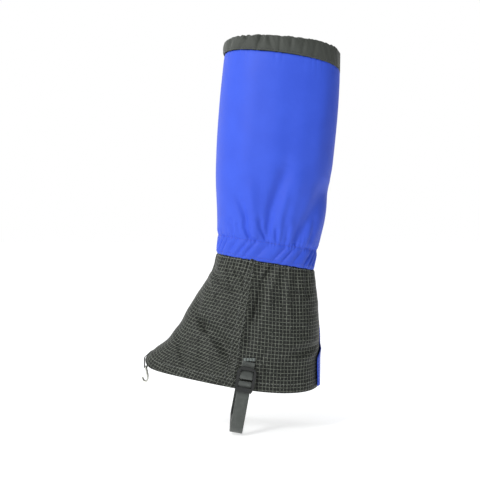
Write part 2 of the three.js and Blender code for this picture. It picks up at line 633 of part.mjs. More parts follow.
// The frame is drawn in x and z: an arched top bar, two rails that close in below the bars, and the lip.
function buildBuckle(parent, frameY) {
  const { top, bottom, corner, depth, bar, strapBar, lipTop, lipNear, lipFar, lipWall, round } = BUCKLE;
  const [half, inner, lipHalf] = [BUCKLE.width, BUCKLE.window, BUCKLE.lipWidth].map((width) => width / 2);
  const outline = new THREE.Shape();
  outline.moveTo(-lipHalf, -bottom);
  outline.lineTo(lipHalf, -bottom);
  outline.quadraticCurveTo(half, -lipTop, half, -strapBar);
  outline.lineTo(half, -top - corner);
  outline.absarc(half - corner, -top - corner, corner, 0, Math.PI / 2);
  outline.absarc(corner - half, -top - corner, corner, Math.PI / 2, Math.PI);
  outline.lineTo(-half, -strapBar);
  outline.quadraticCurveTo(-half, -lipTop, -lipHalf, -bottom);
  const windowTop = -top - BUCKLE.topBar;
  const window = new THREE.Path();
  window.moveTo(-inner, -bottom + lipWall);
  window.lineTo(-inner, windowTop - round);
  window.quadraticCurveTo(-inner, windowTop, round - inner, windowTop);
  window.lineTo(inner - round, windowTop);
  window.quadraticCurveTo(inner, windowTop, inner, windowTop - round);
  window.lineTo(inner, -bottom + lipWall);
  outline.holes.push(window);
  const standing = (geometry) => geometry.rotateX(Math.PI / 2).translate(0, frameY + depth / 2, 0);
  const frame = standing(plate(outline, depth));
  const opened = cut(frame, box(2 * inner, depth, 3 * lipWall, [0, frameY - lipNear + depth / 2, -bottom]));
  const bars = [BUCKLE.anchorBar, strapBar].map((drop) =>
    new THREE.CylinderGeometry(bar, bar, 2 * (inner + lipWall), STEPS.barTurn)
      .rotateZ(Math.PI / 2).translate(0, frameY, -drop));
  const lipDepth = lipFar - lipNear;
  const lip = box(2 * lipHalf, lipDepth, bottom - lipTop,
    [0, frameY - lipNear - lipDepth / 2, -(bottom + lipTop) / 2]);
  add(parent, "ladder_buckle", joined(opened, ...bars, lip), "plastic");
}

// ---- The lace hook ----

function buildHook() {
  const group = new THREE.Group();
  group.name = "hook";
  group.position.set(HOOK.x, 0, HOOK.z);
  group.rotation.y = -THREE.MathUtils.degToRad(HOOK.hang);
  part.add(group);
  const points = [
    [0, HOOK.join, 0],
    ...HOOK_SIDE,
    HOOK_TIP,
    ...HOOK_SIDE.map(([x, y, z]) => [x, -y, z]).reverse(),
    [0, -HOOK.join, 0],
  ].map((point) => new THREE.Vector3(...point));
  const wire = new THREE.Shape();
  wire.absarc(0, 0, HOOK.wire, 0, TURN);
  const path = new THREE.CatmullRomCurve3(points, false, "centripetal");
  const bent = new THREE.ExtrudeGeometry(wire, {
    steps: STEPS.wire, curveSegments: STEPS.wireRound, bevelEnabled: false, extrudePath: path,
  });
  add(group, "lace_hook", bent, "metal");

  const loop = [
    ...HOOK_TAB.front,
    ...arc(HOOK.x, HOOK.z, HOOK.wire + GAP + HOOK_TAB.thick / 2, 1, 2),
    ...HOOK_TAB.inside,
  ];
  const folded = plate(ribbon(loop, HOOK_TAB.thick), HOOK_TAB.width)
    .translate(0, 0, -HOOK_TAB.width / 2).rotateX(Math.PI / 2);
  add(part, "hook_tab", folded, "webbing");
}

buildShell();
buildBandAndElastics();
buildZip();
buildSlider();
buildFlap();
buildTopTab();
buildAnchor("strap_anchor_outer", 1);
buildAnchor("strap_anchor_inner", -1);
buildStrap();
buildHook();

export default part;
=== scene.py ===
"""The looks of the hiking gaiter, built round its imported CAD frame.

Lengths are in millimetres until a mesh is made.
"""
import math

import bpy
import numpy as np
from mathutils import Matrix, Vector


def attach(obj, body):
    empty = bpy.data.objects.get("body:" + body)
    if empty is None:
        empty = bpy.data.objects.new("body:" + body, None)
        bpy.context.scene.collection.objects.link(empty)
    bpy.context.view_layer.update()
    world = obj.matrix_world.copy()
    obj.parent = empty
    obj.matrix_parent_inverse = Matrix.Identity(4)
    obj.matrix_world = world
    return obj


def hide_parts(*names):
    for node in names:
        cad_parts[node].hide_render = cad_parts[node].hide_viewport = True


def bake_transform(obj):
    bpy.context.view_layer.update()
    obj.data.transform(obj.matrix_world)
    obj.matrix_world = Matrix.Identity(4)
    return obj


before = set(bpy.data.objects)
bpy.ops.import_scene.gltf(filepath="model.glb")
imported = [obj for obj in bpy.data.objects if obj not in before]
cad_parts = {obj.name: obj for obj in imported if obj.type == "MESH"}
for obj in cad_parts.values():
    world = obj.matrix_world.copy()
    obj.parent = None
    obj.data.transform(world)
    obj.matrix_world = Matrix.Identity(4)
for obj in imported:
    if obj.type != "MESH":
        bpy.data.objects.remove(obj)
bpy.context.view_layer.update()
MM = 0.001

# ---- The worn shape, the same as the CAD's ----

# Height, front edge, half width, and how much narrower the front is.
STATIONS = np.array([
    [-200, -170, 54, 0.42],
    [-133, -152, 53, 0.36],
    [-105, -121, 52, 0.28],
    [-60, -92.5, 50.5, 0.16],
    [-22, -69.5, 49.5, 0.06],
    [5, -63.5, 50.5, 0],
    [40, -62.5, 56, 0],
    [100, -65, 62.5, 0],
    [190, -59.5, 62, 0],
    [280, -51, 58.5, 0],
])
SQUARENESS = 0.03
CALF_RADIUS, CALF_X, CALF_Z, CALF_BOTTOM = 1144, -1054, 253, 8
CLOSURE_Y, CLOSURE_FLAT, CLOSURE_FADE, CLOSURE_EDGE = 20, 20, 32, 5
RECESS = dict(low=2, high=6, top=-60, fade=70)
ELASTIC_EDGE = 15

# Heights at the front, at the back, and the rise at the sides. The hem also sags more behind than in front,
# and rises at its nose over the laces.
RIM = (260.5, 247, 3)
BAND_SEAM = (245, 223, 2)
GATHER_LINE = (20.5, 0, 0)
ANKLE_SEAM = (-1, -22, 0)
HEM = (-145, -165, -6)
SEAM_X, SEAM_SLOPE = -14, 0.165
HEM_SKEW, HEM_NOSE, HEM_NOSE_SPREAD = 1.6, 11, 0.42

FLAP_TOP, FLAP_BOTTOM = 182, -164
FLAP = dict(free=1, rise=11, full=18.5, fall=21.5, hinge=28.5, sewn=38,
            taped=2.7, bulge=5.4, edge=0.7, thick=1.0, flat_below=55, flat_over=25,
            wrap=28, wrap_from=-110, wrap_over=22, wrap_lift=1.8, wrap_fall=-2, wrap_flat=-11)
STRAP = dict(x=-23.6, y=62, z=-127, lean=math.radians(10.5), top=-4, depth=90, corner=12,
             width=15.2, thick=1.2)
BUCKLE = dict(top=9.5, bar=21.4, strap_bar=29.6, wrap=2.25)
HOOK = dict(x=-152.5, z=-144, hang=math.radians(16), wire=0.9)


def clamp01(t):
    return np.clip(t, 0, 1)


def ease(t):
    t = clamp01(t)
    return t * t * (3 - 2 * t)


def lerp(a, b, t):
    return a + (b - a) * t


def through(rows, column, z):
    """A smooth curve through rows of [height, value, ...], read at a column."""
    z = np.asarray(z, float)
    heights, values = rows[:, 0], rows[:, column]
    last = len(rows) - 1
    before = np.maximum(np.arange(len(rows)) - 1, 0)
    after = np.minimum(np.arange(len(rows)) + 1, last)
    slopes = (values[after] - values[before]) / (heights[after] - heights[before])
    i = np.clip(np.searchsorted(heights, z, side="left") - 1, 0, last - 1)
    span = heights[i + 1] - heights[i]
    t = (z - heights[i]) / span
    rise = values[i + 1] - values[i]
    bend = (1 - t) * (slopes[i] * span - rise) - t * (slopes[i + 1] * span - rise)
    return values[i] + t * rise + t * (1 - t) * bend


def calf_arc(z, inset):
    return CALF_X + np.sqrt((CALF_RADIUS - inset) ** 2 - (z - CALF_Z) ** 2)


LOWER_BACK = np.array(
    [[-200, 62.5], [-135, 62.5], [-105, 64.5], [-60, 62.5], [-22, 58.5]]
    + [[z, float(calf_arc(z, 0))] for z in (CALF_BOTTOM, CALF_BOTTOM + 25)]
)


def back_edge(z):
    return np.where(z >= CALF_BOTTOM, calf_arc(z, 0), through(LOWER_BACK, 1, z))


def recess(z):
    r = RECESS
    return lerp(r["high"], r["low"], ease((r["top"] - z) / r["fade"]))


def closure_x(z, lift=0.0):
    z = np.asarray(z, float)
    return np.where(z >= CALF_BOTTOM, calf_arc(z, recess(z) - lift), back_edge(z) - recess(z) + lift)


def skin(angle, z):
    """The shell's outer surface.

    Angle 0 is the back, a quarter turn the outer side and a half turn the front.
    """
    front, half, egg = (through(STATIONS, k, z) for k in (1, 2, 3))
    back = back_edge(z)
    cos = np.cos(angle)
    along = (cos - SQUARENESS * np.cos(3 * angle)) / (1 - SQUARENESS)
    across = (np.sin(angle) + SQUARENESS * np.sin(3 * angle)) / (1 - SQUARENESS)
    x = (front + back) / 2 + (back - front) / 2 * along
    y = -half * across * (1 + egg * cos)
    share = 1 - ease((np.abs(y - CLOSURE_Y) - CLOSURE_FLAT) / (CLOSURE_FADE - CLOSURE_FLAT))
    proud = x - closure_x(z)
    pulled = x - share * (proud + np.sqrt(proud * proud + 1)) / 2
    x = np.where(cos > 0, pulled, x)
    return np.stack([x, y, z * np.ones_like(x)], -1)


def unit(v):
    return v / np.linalg.norm(v, axis=-1, keepdims=True)


def normal(angle, z):
    around = skin(angle + 2e-3, z) - skin(angle - 2e-3, z)
    up = skin(angle, z + 0.1) - skin(angle, z - 0.1)
    return unit(np.cross(up, around))


def level(heights, angle):
    front, back, side = heights
    skew, nose = (HEM_SKEW, HEM_NOSE) if heights is HEM else (0, 0)
    sides = side * np.sin(angle) ** 2 * (1 + skew * np.cos(angle))
    off = (np.abs(angle) - math.pi) / HEM_NOSE_SPREAD
    return lerp(back, front, (1 - np.cos(angle)) / 2) + sides + nose * np.exp(-off * off)


# Angles where the skin's y has a value behind the leg, or its x one on the outer side, by height.
Z_TABLE = np.arange(-200.0, 291.0, 1.0)


def angle_table(coordinate, value, low, high):
    angles = np.linspace(low, high, 721)
    grid = skin(angles[None, :], Z_TABLE[:, None])[..., coordinate]
    values = value(Z_TABLE)
    return np.array([np.interp(-v, -row, angles) for v, row in zip(values, grid)])


def behind(y, z):
    key = round(float(y), 3)
    if key not in behind.tables:
        behind.tables[key] = angle_table(1, lambda zs: np.full_like(zs, key), -1.45, 1.45)
    return np.interp(z, Z_TABLE, behind.tables[key])


behind.tables = {}
SEAM_TABLE = angle_table(0, lambda zs: SEAM_X + SEAM_SLOPE * zs, 0.05, math.pi)


def seam_angle(z):
    return np.interp(z, Z_TABLE, SEAM_TABLE)


def angle_where(coordinate, value, z, low, high):
    """The angle between low and high where the skin's x or y, which falls with the angle, has a value."""
    value, z = np.broadcast_arrays(np.asarray(value, float), np.asarray(z, float))
    low, high = np.full(z.shape, float(low)), np.full(z.shape, float(high))
    for _ in range(30):
        middle = (low + high) / 2
        above = skin(middle, z)[..., coordinate] > value
        low, high = np.where(above, middle, low), np.where(above, high, middle)
    return (low + high) / 2


def on_skin(angle, z, lift=0.0):
    return skin(angle, z) + normal(angle, z) * np.asarray(lift, float)[..., None]


def at_back(y, z, lift=0.0):
    """A point behind the leg by its y and height, and its distance out from the skin."""
    return on_skin(angle_where(1, y, z, -1.5, 1.5), z, lift)


TURN = 2 * math.pi
EDGES = {
    "closure_outer": lambda z: behind(CLOSURE_Y - CLOSURE_EDGE, z),
    "closure_inner": lambda z: TURN + behind(CLOSURE_Y + CLOSURE_EDGE, z),
    "seam_outer": seam_angle,
    "seam_inner": lambda z: TURN - seam_angle(z),
    "elastic_outer": lambda z: behind(CLOSURE_Y - ELASTIC_EDGE, z),
    "elastic_inner": lambda z: TURN + behind(CLOSURE_Y + ELASTIC_EDGE, z),
}


def panel_grid(u, v, start, end, low, high):
    """Angles and heights of a panel's grid, for u round the leg and v up it."""
    u, v = np.meshgrid(u, v)
    z = lerp(low[1], high[1], v)
    for _ in range(8):
        angle = lerp(EDGES[start](z), EDGES[end](z), u)
        z = lerp(level(low, angle), level(high, angle), v)
    return angle, z


# ---- Relief: how far the cloth stands off the skin ----


def wander(s, wavelength, seed, amount=0.35):
    """s counted in wavelengths, with uneven spacing."""
    x = s / wavelength
    phase = 2.399 * seed
    return x + amount * np.sin(x * 1.93 + phase) + amount * 0.6 * np.sin(x * 0.71 + 2.1 * phase)


def valleys(x, sharp=3.0):
    """Narrow valleys at whole numbers and broad crests between, from -1 to 0."""
    return -((1 - np.abs(np.sin(np.pi * x))) ** sharp)


def swell(x):
    return np.cos(TURN * x)


def bell(distance, width):
    return np.exp(-((distance / width) ** 2))


def around(angle):
    """A rough length round the leg, in millimetres."""
    return angle * 58


def clear_of_closure(angle, z, near=21.0, far=36.0):
    """0 beside the closure, where tapes and the flap lie flat, and 1 away from it."""
    p = skin(angle, z)
    off = ease((np.abs(p[..., 1] - CLOSURE_Y) - near) / (far - near))
    return np.where(np.cos(angle) > 0, off, 1.0)


def fold_along(p, line, wide, depth, shoulder=0.4):
    """A valley (depth below 0) or a ridge along a line of (x, z) points, with softer shoulders the other way.

    wide is its width at the line's start and end. It fades out at both ends.
    """
    line = np.asarray(line, float)
    x, z = p[..., 0], p[..., 2]
    lengths = np.concatenate([[0], np.cumsum(np.hypot(*np.diff(line, axis=0).T))])
    nearest = np.full(x.shape, 1e9)
    share = np.zeros(x.shape)
    for i, (a, b) in enumerate(zip(line[:-1], line[1:])):
        step = b - a
        size = step @ step
        raw = ((x - a[0]) * step[0] + (z - a[1]) * step[1]) / size
        low = -0.4 if i == 0 else 0
        high = 1.4 if i == len(line) - 2 else 1
        t = np.clip(raw, low, high)
        off = np.hypot(x - a[0] - t * step[0], z - a[1] - t * step[1])
        closer = off < nearest
        nearest = np.where(closer, off, nearest)
        share = np.where(closer, (lengths[i] + t * math.sqrt(size)) / lengths[-1], share)
    width = lerp(wide[0], wide[1], clamp01(share))
    fade = ease((share + 0.3) / 0.4) * ease((1.3 - share) / 0.4)
    return depth * fade * (bell(nearest, width) * (1 + shoulder) - shoulder * bell(nearest, 2.1 * width))


def folds_of(p, folds, shift=9.0):
    """All the folds of a list on both sides of the leg; the inner side's lie a little further back."""
    q = p.copy()
    q[..., 0] -= np.where(p[..., 1] > 0, shift, 0.0)
    return sum(fold_along(q, *fold) for fold in folds)


# Folds as (line of (x, z) points, widths at its two ends, depth); ridges have a depth above 0.
UPPER_FOLDS = [
    ([(-24.6, 17.6), (-28.5, 29), (-28, 40), (-36, 62)], (2.0, 4.6), -2.3),
    ([(-5.9, 17.6), (-10.2, 29.5), (-11, 38)], (1.9, 3.4), -1.7),
    ([(-2.6, 20), (2.5, 50), (9, 70), (18, 92)], (4.6, 9.0), -3.8),
    ([(33, 12), (40, 26), (54, 48), (69, 76)], (5.0, 12.0), -4.2),
    ([(8.5, 14), (8.5, 27)], (1.8, 2.8), -1.5),
    ([(-43, 24), (-46, 40)], (1.8, 3.6), -1.4),
    ([(-36, 24), (-38, 34)], (1.5, 2.6), -1.0),
    ([(21, 13), (23, 30)], (2.0, 3.6), -1.2),
    ([(50, 14), (57, 38)], (2.2, 4.5), -1.4),
    ([(-17, 20), (-18, 44), (-22, 76)], (4.0, 8.0), 1.8),
    ([(12, 16), (14, 40), (20, 62)], (3.4, 5.5), 1.6),
    ([(24, 26), (28, 52), (36, 84)], (5.0, 9.0), 1.5),
    ([(-30, 100), (-22, 220)], (12, 16), 0.9),
    ([(20, 110), (34, 214)], (10, 18), -0.8),
    ([(58, 120), (70, 210)], (8, 10), 0.9),
]


def upper_relief(angle, z):
    s = around(angle)
    p = skin(angle, z)
    h = z - level(GATHER_LINE, angle)
    channel = level(GATHER_LINE, angle) - level(ANKLE_SEAM, angle)
    down = clamp01(-h / channel)
    above = np.maximum(h, 0)
    in_channel = np.sin(np.pi * down) ** 0.6 * (h < 0)
    slanted = wander(s + 0.62 * h, 12.6, 1, 0.22)
    gathers = in_channel * (0.9 + 2.5 * valleys(slanted, 1.1))
    stitch_dip = -0.45 * bell(h, 1.5)
    pucker = 1.3 * valleys(wander(s, 6.4, 2, 0.55), 1.4) * bell(h, 3.4)
    puff = 1.2 * ease(h / 7) * np.exp(-above / 32)
    soft = 0.8 * ease(h / 5) * np.exp(-above / 20) * valleys(wander(s + 0.15 * h, 19, 3, 0.45), 1.6)
    fine = 0.8 * ease(h / 2) * np.exp(-above / 8) * valleys(wander(s, 8.1, 5, 0.5), 1.6)
    tuck = -1.1 * bell(z - level(ANKLE_SEAM, angle), 1.5)
    folds = folds_of(p, UPPER_FOLDS) * ease(h / 4)
    under_band = level(BAND_SEAM, angle) - z
    band_pucker = 0.7 * valleys(wander(s, 10, 8, 0.45), 1.8) * np.exp(-under_band / 7)
    band_pucker = band_pucker - 0.9 * bell(under_band, 1.5)
    broad = 0.7 * np.sin(s / 23 + z / 61) * np.sin(z / 47 + 1.3) * ease(h / 40)
    relief = gathers + pucker + puff + soft + fine + folds + band_pucker + broad
    return relief * clear_of_closure(angle, z) + stitch_dip + tuck


def upper_droop(angle, z):
    """How far the ankle channel's lower edge hangs below its seam."""
    hang = bell(z - level(ANKLE_SEAM, angle), 3.5)
    return -(1.2 + 0.25 * swell(wander(around(angle), 13.0, 1, 0.3))) * hang * clear_of_closure(angle, z)


def band_relief(angle, v):
    """The gathered band, v from its seam to its rim."""
    s = around(angle)
    z = lerp(level(BAND_SEAM, angle), level(RIM, angle), v)
    toe = 0.5 - 0.5 * np.cos(angle)
    lean = s - 7 * (v - 0.5)
    deep = 0.9 * valleys(wander(lean, 14.5, 11, 0.5), 2.0) + folds_of(skin(angle, z), BAND_FOLDS)
    small = (0.5 + 0.35 * toe) * valleys(wander(lean + 3, 6.6, 12, 0.5), 1.5)
    behind_leg = ease(np.cos(angle) / 0.5)
    belly = lerp(1.5, 0.2, behind_leg) * np.sin(np.pi * clamp01(v)) ** 0.8 - 0.9 * behind_leg
    return belly + (deep + small) * (0.3 + 0.7 * v) * clear_of_closure(angle, z, 16, 26)


# The band's larger creases, from its seam to its rim, in the same way.
BAND_FOLDS = [
    ([(-36, 240), (-33, 247), (-26, 257)], (1.6, 2.2), -3.4),
    ([(-15, 239), (-13, 246), (-9, 257)], (1.9, 3.0), -3.6),
    ([(5, 238), (2, 247), (-1, 257)], (1.8, 2.4), -1.7),
    ([(12, 237), (13, 255)], (1.8, 2.2), -1.4),
    ([(-49, 241), (-44, 255)], (2.0, 2.6), -1.8),
    ([(-24, 240), (-20, 256)], (4.0, 4.5), 1.5),
    ([(-42, 241), (-38, 254)], (3.0, 3.4), 1.0),
    ([(-5, 240), (-4, 255)], (3.0, 3.4), 1.1),
    ([(24, 236), (27, 253)], (2.2, 2.4), -1.3),
    ([(38, 233), (42, 250)], (2.2, 2.4), -1.2),
    ([(52, 230), (56, 248)], (2.2, 2.4), -1.2),
]


def rim_scallop(angle):
    s = around(angle)
    large = 1.1 * valleys(wander(s + 3.5, 14.5, 11, 0.5), 1.3)
    return large + 0.6 * valleys(wander(s + 6.5, 6.6, 12, 0.5), 1.3)


LOWER_FOLDS = [
    ([(-67, -22), (-56, -42), (-42, -48)], (4.0, 3.2), -2.6),
    ([(-70, -34), (-65, -50), (-68, -60)], (3.0, 3.5), 1.6),
    ([(-84, -56), (-88, -70), (-81, -92)], (5.0, 5.0), -2.0),
    ([(-84, -86), (-77, -89), (-58, -107), (-39, -131)], (7.0, 9.5), -4.2),
    ([(-78, -74), (-56, -88), (-38, -104)], (7.0, 8.0), 2.4),
    ([(-90, -76), (-76, -95)], (2.2, 3.0), -1.5),
    ([(-110, -109), (-108, -119), (-102, -135)], (3.4, 4.5), -2.4),
    ([(-88, -103), (-89, -130)], (5.0, 6.0), 1.6),
    ([(-100, -96), (-92, -112)], (3.0, 3.5), -1.3),
    ([(-126, -132), (-116, -146)], (4.0, 5.0), 1.0),
    ([(-52, -22), (-46, -38)], (2.4, 3.0), -1.6),
    ([(-42, -14), (-39, -30)], (2.0, 2.6), -1.5),
    ([(-36, -26), (-33, -52)], (2.2, 3.0), 1.2),
    ([(4, -17), (-8, -36), (-12, -58), (-17, -76)], (3.0, 5.5), -3.8),
    ([(12, -22), (3, -44), (1, -70)], (3.4, 5.0), 1.6),
    ([(-12, -60), (-18, -80), (-24, -108)], (5.0, 6.0), -1.6),
    ([(24, -28), (23, -62), (26, -86)], (3.0, 4.0), 1.9),
    ([(16, -26), (15, -58)], (2.4, 3.6), -1.3),
    ([(33, -28), (33, -60)], (2.6, 4.0), -1.4),
    ([(46, -27), (47, -52)], (3.0, 4.0), -1.8),
    ([(18, -135), (31, -122), (45, -117), (60, -113)], (7.0, 4.5), -1.9),
    ([(26, -131), (54, -125)], (3.4, 4.4), 0.9),
    ([(-12, -138), (4, -122), (30, -112)], (4.0, 5.0), 1.2),
    ([(-8, -128), (-1, -146)], (2.0, 3.0), -1.5),
    ([(2, -118), (-6, -132)], (2.0, 3.0), 1.2),
]


def lower_relief(angle, z):
    s = around(angle)
    p = skin(angle, z)
    under = np.maximum(level(ANKLE_SEAM, angle) - z, 0)
    above_hem = z - level(HEM, angle)
    tuck = -1.7 * bell(under, 2.0)
    gathered = 2.1 * valleys(wander(s, 11, 21, 0.45), 1.6) * np.exp(-under / 16)
    small = 0.8 * valleys(wander(s, 6.2, 22, 0.5), 1.5) * np.exp(-under / 7)
    crumple = 0.36 * np.sin(p[..., 0] / 6.3 + z / 9.1) * np.sin(z / 7.7 - p[..., 0] / 15)
    crumple = crumple + 0.26 * np.sin(p[..., 0] / 3.9 - z / 5.3 + 1.0) * np.sin(z / 4.1 + 0.4)
    seam = p[..., 0] - SEAM_X - SEAM_SLOPE * z
    ridge = 1.3 * bell(seam + 3.5, 5.0) - 1.3 * bell(seam - 6, 6.5)
    fell = 0.5 * (ease((seam + 6.5) / 1.2) * ease(-seam / 0.8 + 0.5))
    hem_roll = 0.45 * ease((11 - above_hem) / 1.5)
    wave = 0.9 * np.sin(s / 15 + 0.8) * np.exp(-above_hem / 25)
    strap = bell(p[..., 0] - STRAP["x"] - 0.18 * (z - STRAP["z"]), 13) * ease((-112 - z) / 12)
    front = ease((-138 - p[..., 0]) / 8)
    calm = (1 - strap) * (1 - front)
    cloth = (gathered + small + folds_of(p, LOWER_FOLDS) + crumple + wave + ridge) * calm
    under_flap = FLAP["wrap"] * ease((FLAP["wrap_from"] - z) / FLAP["wrap_over"]) * (p[..., 1] < CLOSURE_Y)
    return (cloth + fell) * clear_of_closure(angle, z, 21 + under_flap, 36 + under_flap) + tuck + hem_roll


# ---- Meshes ----


def mesh_object(name, points, faces, uv=None, smooth=True):
    """A mesh object from points; uv holds each point's place on the flat cloth. Both are in millimetres."""
    mesh = bpy.data.meshes.new(name)
    mesh.from_pydata((np.asarray(points) * MM).tolist(), [], [tuple(int(i) for i in f) for f in faces])
    mesh.validate(clean_customdata=False)
    if uv is not None:
        layer = mesh.uv_layers.new(name="cloth")
        index = np.zeros(len(mesh.loops), dtype=np.int64)
        mesh.loops.foreach_get("vertex_index", index)
        layer.data.foreach_set("uv", (np.asarray(uv)[index] * MM).astype(np.float32).ravel())
    mesh.polygons.foreach_set("use_smooth", [smooth] * len(mesh.polygons))
    mesh.update()
    obj = bpy.data.objects.new(name, mesh)
    bpy.context.scene.collection.objects.link(obj)
    return obj


def grid_faces(rows, columns, start=0, flip=False):
    i, j = np.meshgrid(np.arange(columns - 1), np.arange(rows - 1))
    a = (start + j * columns + i).ravel()
    quads = np.stack([a, a + 1, a + columns + 1, a + columns], -1)
    return quads[:, ::-1] if flip else quads


def rim_faces(rows, columns, offset):
    """Joins the edges of two stacked grids, the second starting at offset."""
    bottom = np.arange(columns)
    top = (rows - 1) * columns + np.arange(columns)
    left = np.arange(rows) * columns
    right = left + columns - 1
    loop = np.concatenate([bottom, right[1:], top[::-1][1:], left[::-1][1:]])
    return np.stack([loop[:-1], loop[:-1] + offset, loop[1:] + offset, loop[1:]], -1)


def cloth_solid(name, outer, inner, uv):
    """A closed sheet from two grids of points, outer facing out."""
    rows, columns = outer.shape[:2]
    count = rows * columns
    points = np.concatenate([outer.reshape(-1, 3), inner.reshape(-1, 3)])
    faces = np.concatenate([
        grid_faces(rows, columns),
        grid_faces(rows, columns, count, flip=True),
        rim_faces(rows, columns, count),
    ])
    uvs = np.concatenate([uv.reshape(-1, 2)] * 2)
    obj = mesh_object(name, points, faces, uvs)
    face_outwards(obj)
    return obj


def face_outwards(obj):
    """Flips a closed mesh whose volume is negative."""
    mesh = obj.data
    mesh.calc_loop_triangles()
    volume = 0
    for triangle in mesh.loop_triangles:
        a, b, c = (mesh.vertices[i].co for i in triangle.vertices)
        volume += a.dot(b.cross(c))
    if volume < 0:
        mesh.flip_normals()


def flat_lengths(points):
    """Each point's place on the flat cloth: length along its row and along its column."""
    along = np.linalg.norm(np.diff(points, axis=1), axis=-1)
    up = np.linalg.norm(np.diff(points, axis=0), axis=-1)
    u = np.concatenate([np.zeros((len(points), 1)), np.cumsum(along, 1)], 1)
    v = np.concatenate([np.zeros((1, points.shape[1])), np.cumsum(up, 0)], 0)
    return np.stack([u, v], -1)


def even_uv(points, turn=0.0):
    """Flat-cloth places whose grain stays square, with columns counted from the panel's middle."""
    flat = flat_lengths(points)
    middle = points.shape[1] // 2
    u = flat[..., 0] - flat[:, middle:middle + 1, 0]
    v = lerp(flat[:, middle:middle + 1, 1], flat[..., 1], 0.5)
    cos, sin = math.cos(turn), math.sin(turn)
    return np.stack([u * cos - v * sin, u * sin + v * cos], -1)


def crowd(count, amount=0.6):
    u = np.linspace(0, 1, count)
    return u - amount * np.sin(TURN * u) / TURN


# ---- Materials ----


class Nodes:
    """A short way to write a material's node tree."""

    def __init__(self, name):
        self.material = bpy.data.materials.new(name)
        self.material.use_nodes = True
        self.tree = self.material.node_tree
        self.shader = self.tree.nodes["Principled BSDF"]

    def node(self, kind, inputs=(), **settings):
        made = self.tree.nodes.new(kind)
        for key, value in settings.items():
            setattr(made, key, value)
        for key, value in dict(inputs).items():
            self.put(made.inputs[key], value)
        return made

    def put(self, socket, value):
        if isinstance(value, bpy.types.NodeSocket):
            self.tree.links.new(value, socket)
        else:
            socket.default_value = value

    def math(self, operation, a, b=0.0, c=0.0, clamp=False):
        made = self.node("ShaderNodeMath", {0: a, 1: b, 2: c}, operation=operation, use_clamp=clamp)
        return made.outputs[0]

    def mix(self, share, a, b):
        made = self.node("ShaderNodeMix", data_type="RGBA")
        self.put(made.inputs["Factor"], share)
        self.put(made.inputs["A"], a)
        self.put(made.inputs["B"], b)
        return made.outputs["Result"]

    def cloth_uv(self):
        """The cloth's flat coordinates, in millimetres, as u and v."""
        uv = self.node("ShaderNodeUVMap", uv_map="cloth").outputs[0]
        parts = self.node("ShaderNodeSeparateXYZ", {0: uv}).outputs
        return self.math("MULTIPLY", parts[0], 1 / MM), self.math("MULTIPLY", parts[1], 1 / MM)

    def noise(self, scale, detail=3.0, rough=0.55):
        """Noise by place on the object, scale in cycles per metre."""
        vector = self.node("ShaderNodeTexCoord").outputs["Object"]
        inputs = {"Vector": vector, "Scale": scale, "Detail": detail, "Roughness": rough}
        return self.node("ShaderNodeTexNoise", inputs).outputs["Fac"]

    def lines(self, coordinate, pitch, width, soft=0.25):
        """1 on lines at a pitch and 0 between them, with soft edges."""
        cell = self.math("FRACT", self.math("DIVIDE", coordinate, pitch))
        off = self.math("ABSOLUTE", self.math("SUBTRACT", cell, 0.5))
        sharp = pitch / soft
        return self.math("MULTIPLY_ADD", off, -sharp, width / 2 / soft + 0.5, clamp=True)

    def thread(self, coordinate, pitch):
        """A rounded thread profile from 0 to 1."""
        return self.math("ABSOLUTE", self.math("SINE", self.math("MULTIPLY", coordinate, math.pi / pitch)))

    def bump(self, height, strength, distance, under=None):
        inputs = {"Height": height, "Strength": strength, "Distance": distance * MM}
        if under is not None:
            inputs["Normal"] = under
        return self.node("ShaderNodeBump", inputs).outputs[0]

    def finish(self, **sockets):
        for name, value in sockets.items():
            self.put(self.shader.inputs[name.replace("_", " ")], value)
        return self.material


def srgb(*levels):
    """Linear colour of an sRGB triple."""
    parts = [v / 255 for v in levels]
    return tuple(p / 12.92 if p <= 0.04045 else ((p + 0.055) / 1.055) ** 2.4 for p in parts) + (1.0,)


def woven(name, colour, dark, light, pitch, rough, sheen, tint, weave_bump=0.25):
    """Plain-woven cloth: fine threads with a painted highlight on their crests, slow colour drift, small
    creases.
    """
    n = Nodes(name)
    u, v = n.cloth_uv()
    warp, weft = n.thread(u, pitch), n.thread(v, pitch)
    weave = n.math("MULTIPLY", warp, weft)
    drift = n.noise(38, 4)
    patches = n.math("MULTIPLY", n.math("SUBTRACT", drift, 0.35, clamp=True), 1.1, clamp=True)
    base = n.mix(patches, dark, colour)
    # Painted highlight: where the warp and weft threads cross on top, the colour is lightened towards light.
    crest_highlighted = n.mix(n.math("MULTIPLY", weave, 0.22), base, light)
    creases = n.bump(n.noise(150, 5, 0.6), 0.28, 0.55)
    surface = n.bump(weave, weave_bump, 0.12, creases)
    rough_map = n.math("MULTIPLY_ADD", drift, 0.16, rough - 0.08)
    return n.finish(Base_Color=crest_highlighted, Roughness=rough_map, Normal=surface, Sheen_Weight=sheen,
                    Sheen_Roughness=0.4, Sheen_Tint=tint, Specular_IOR_Level=0.22)


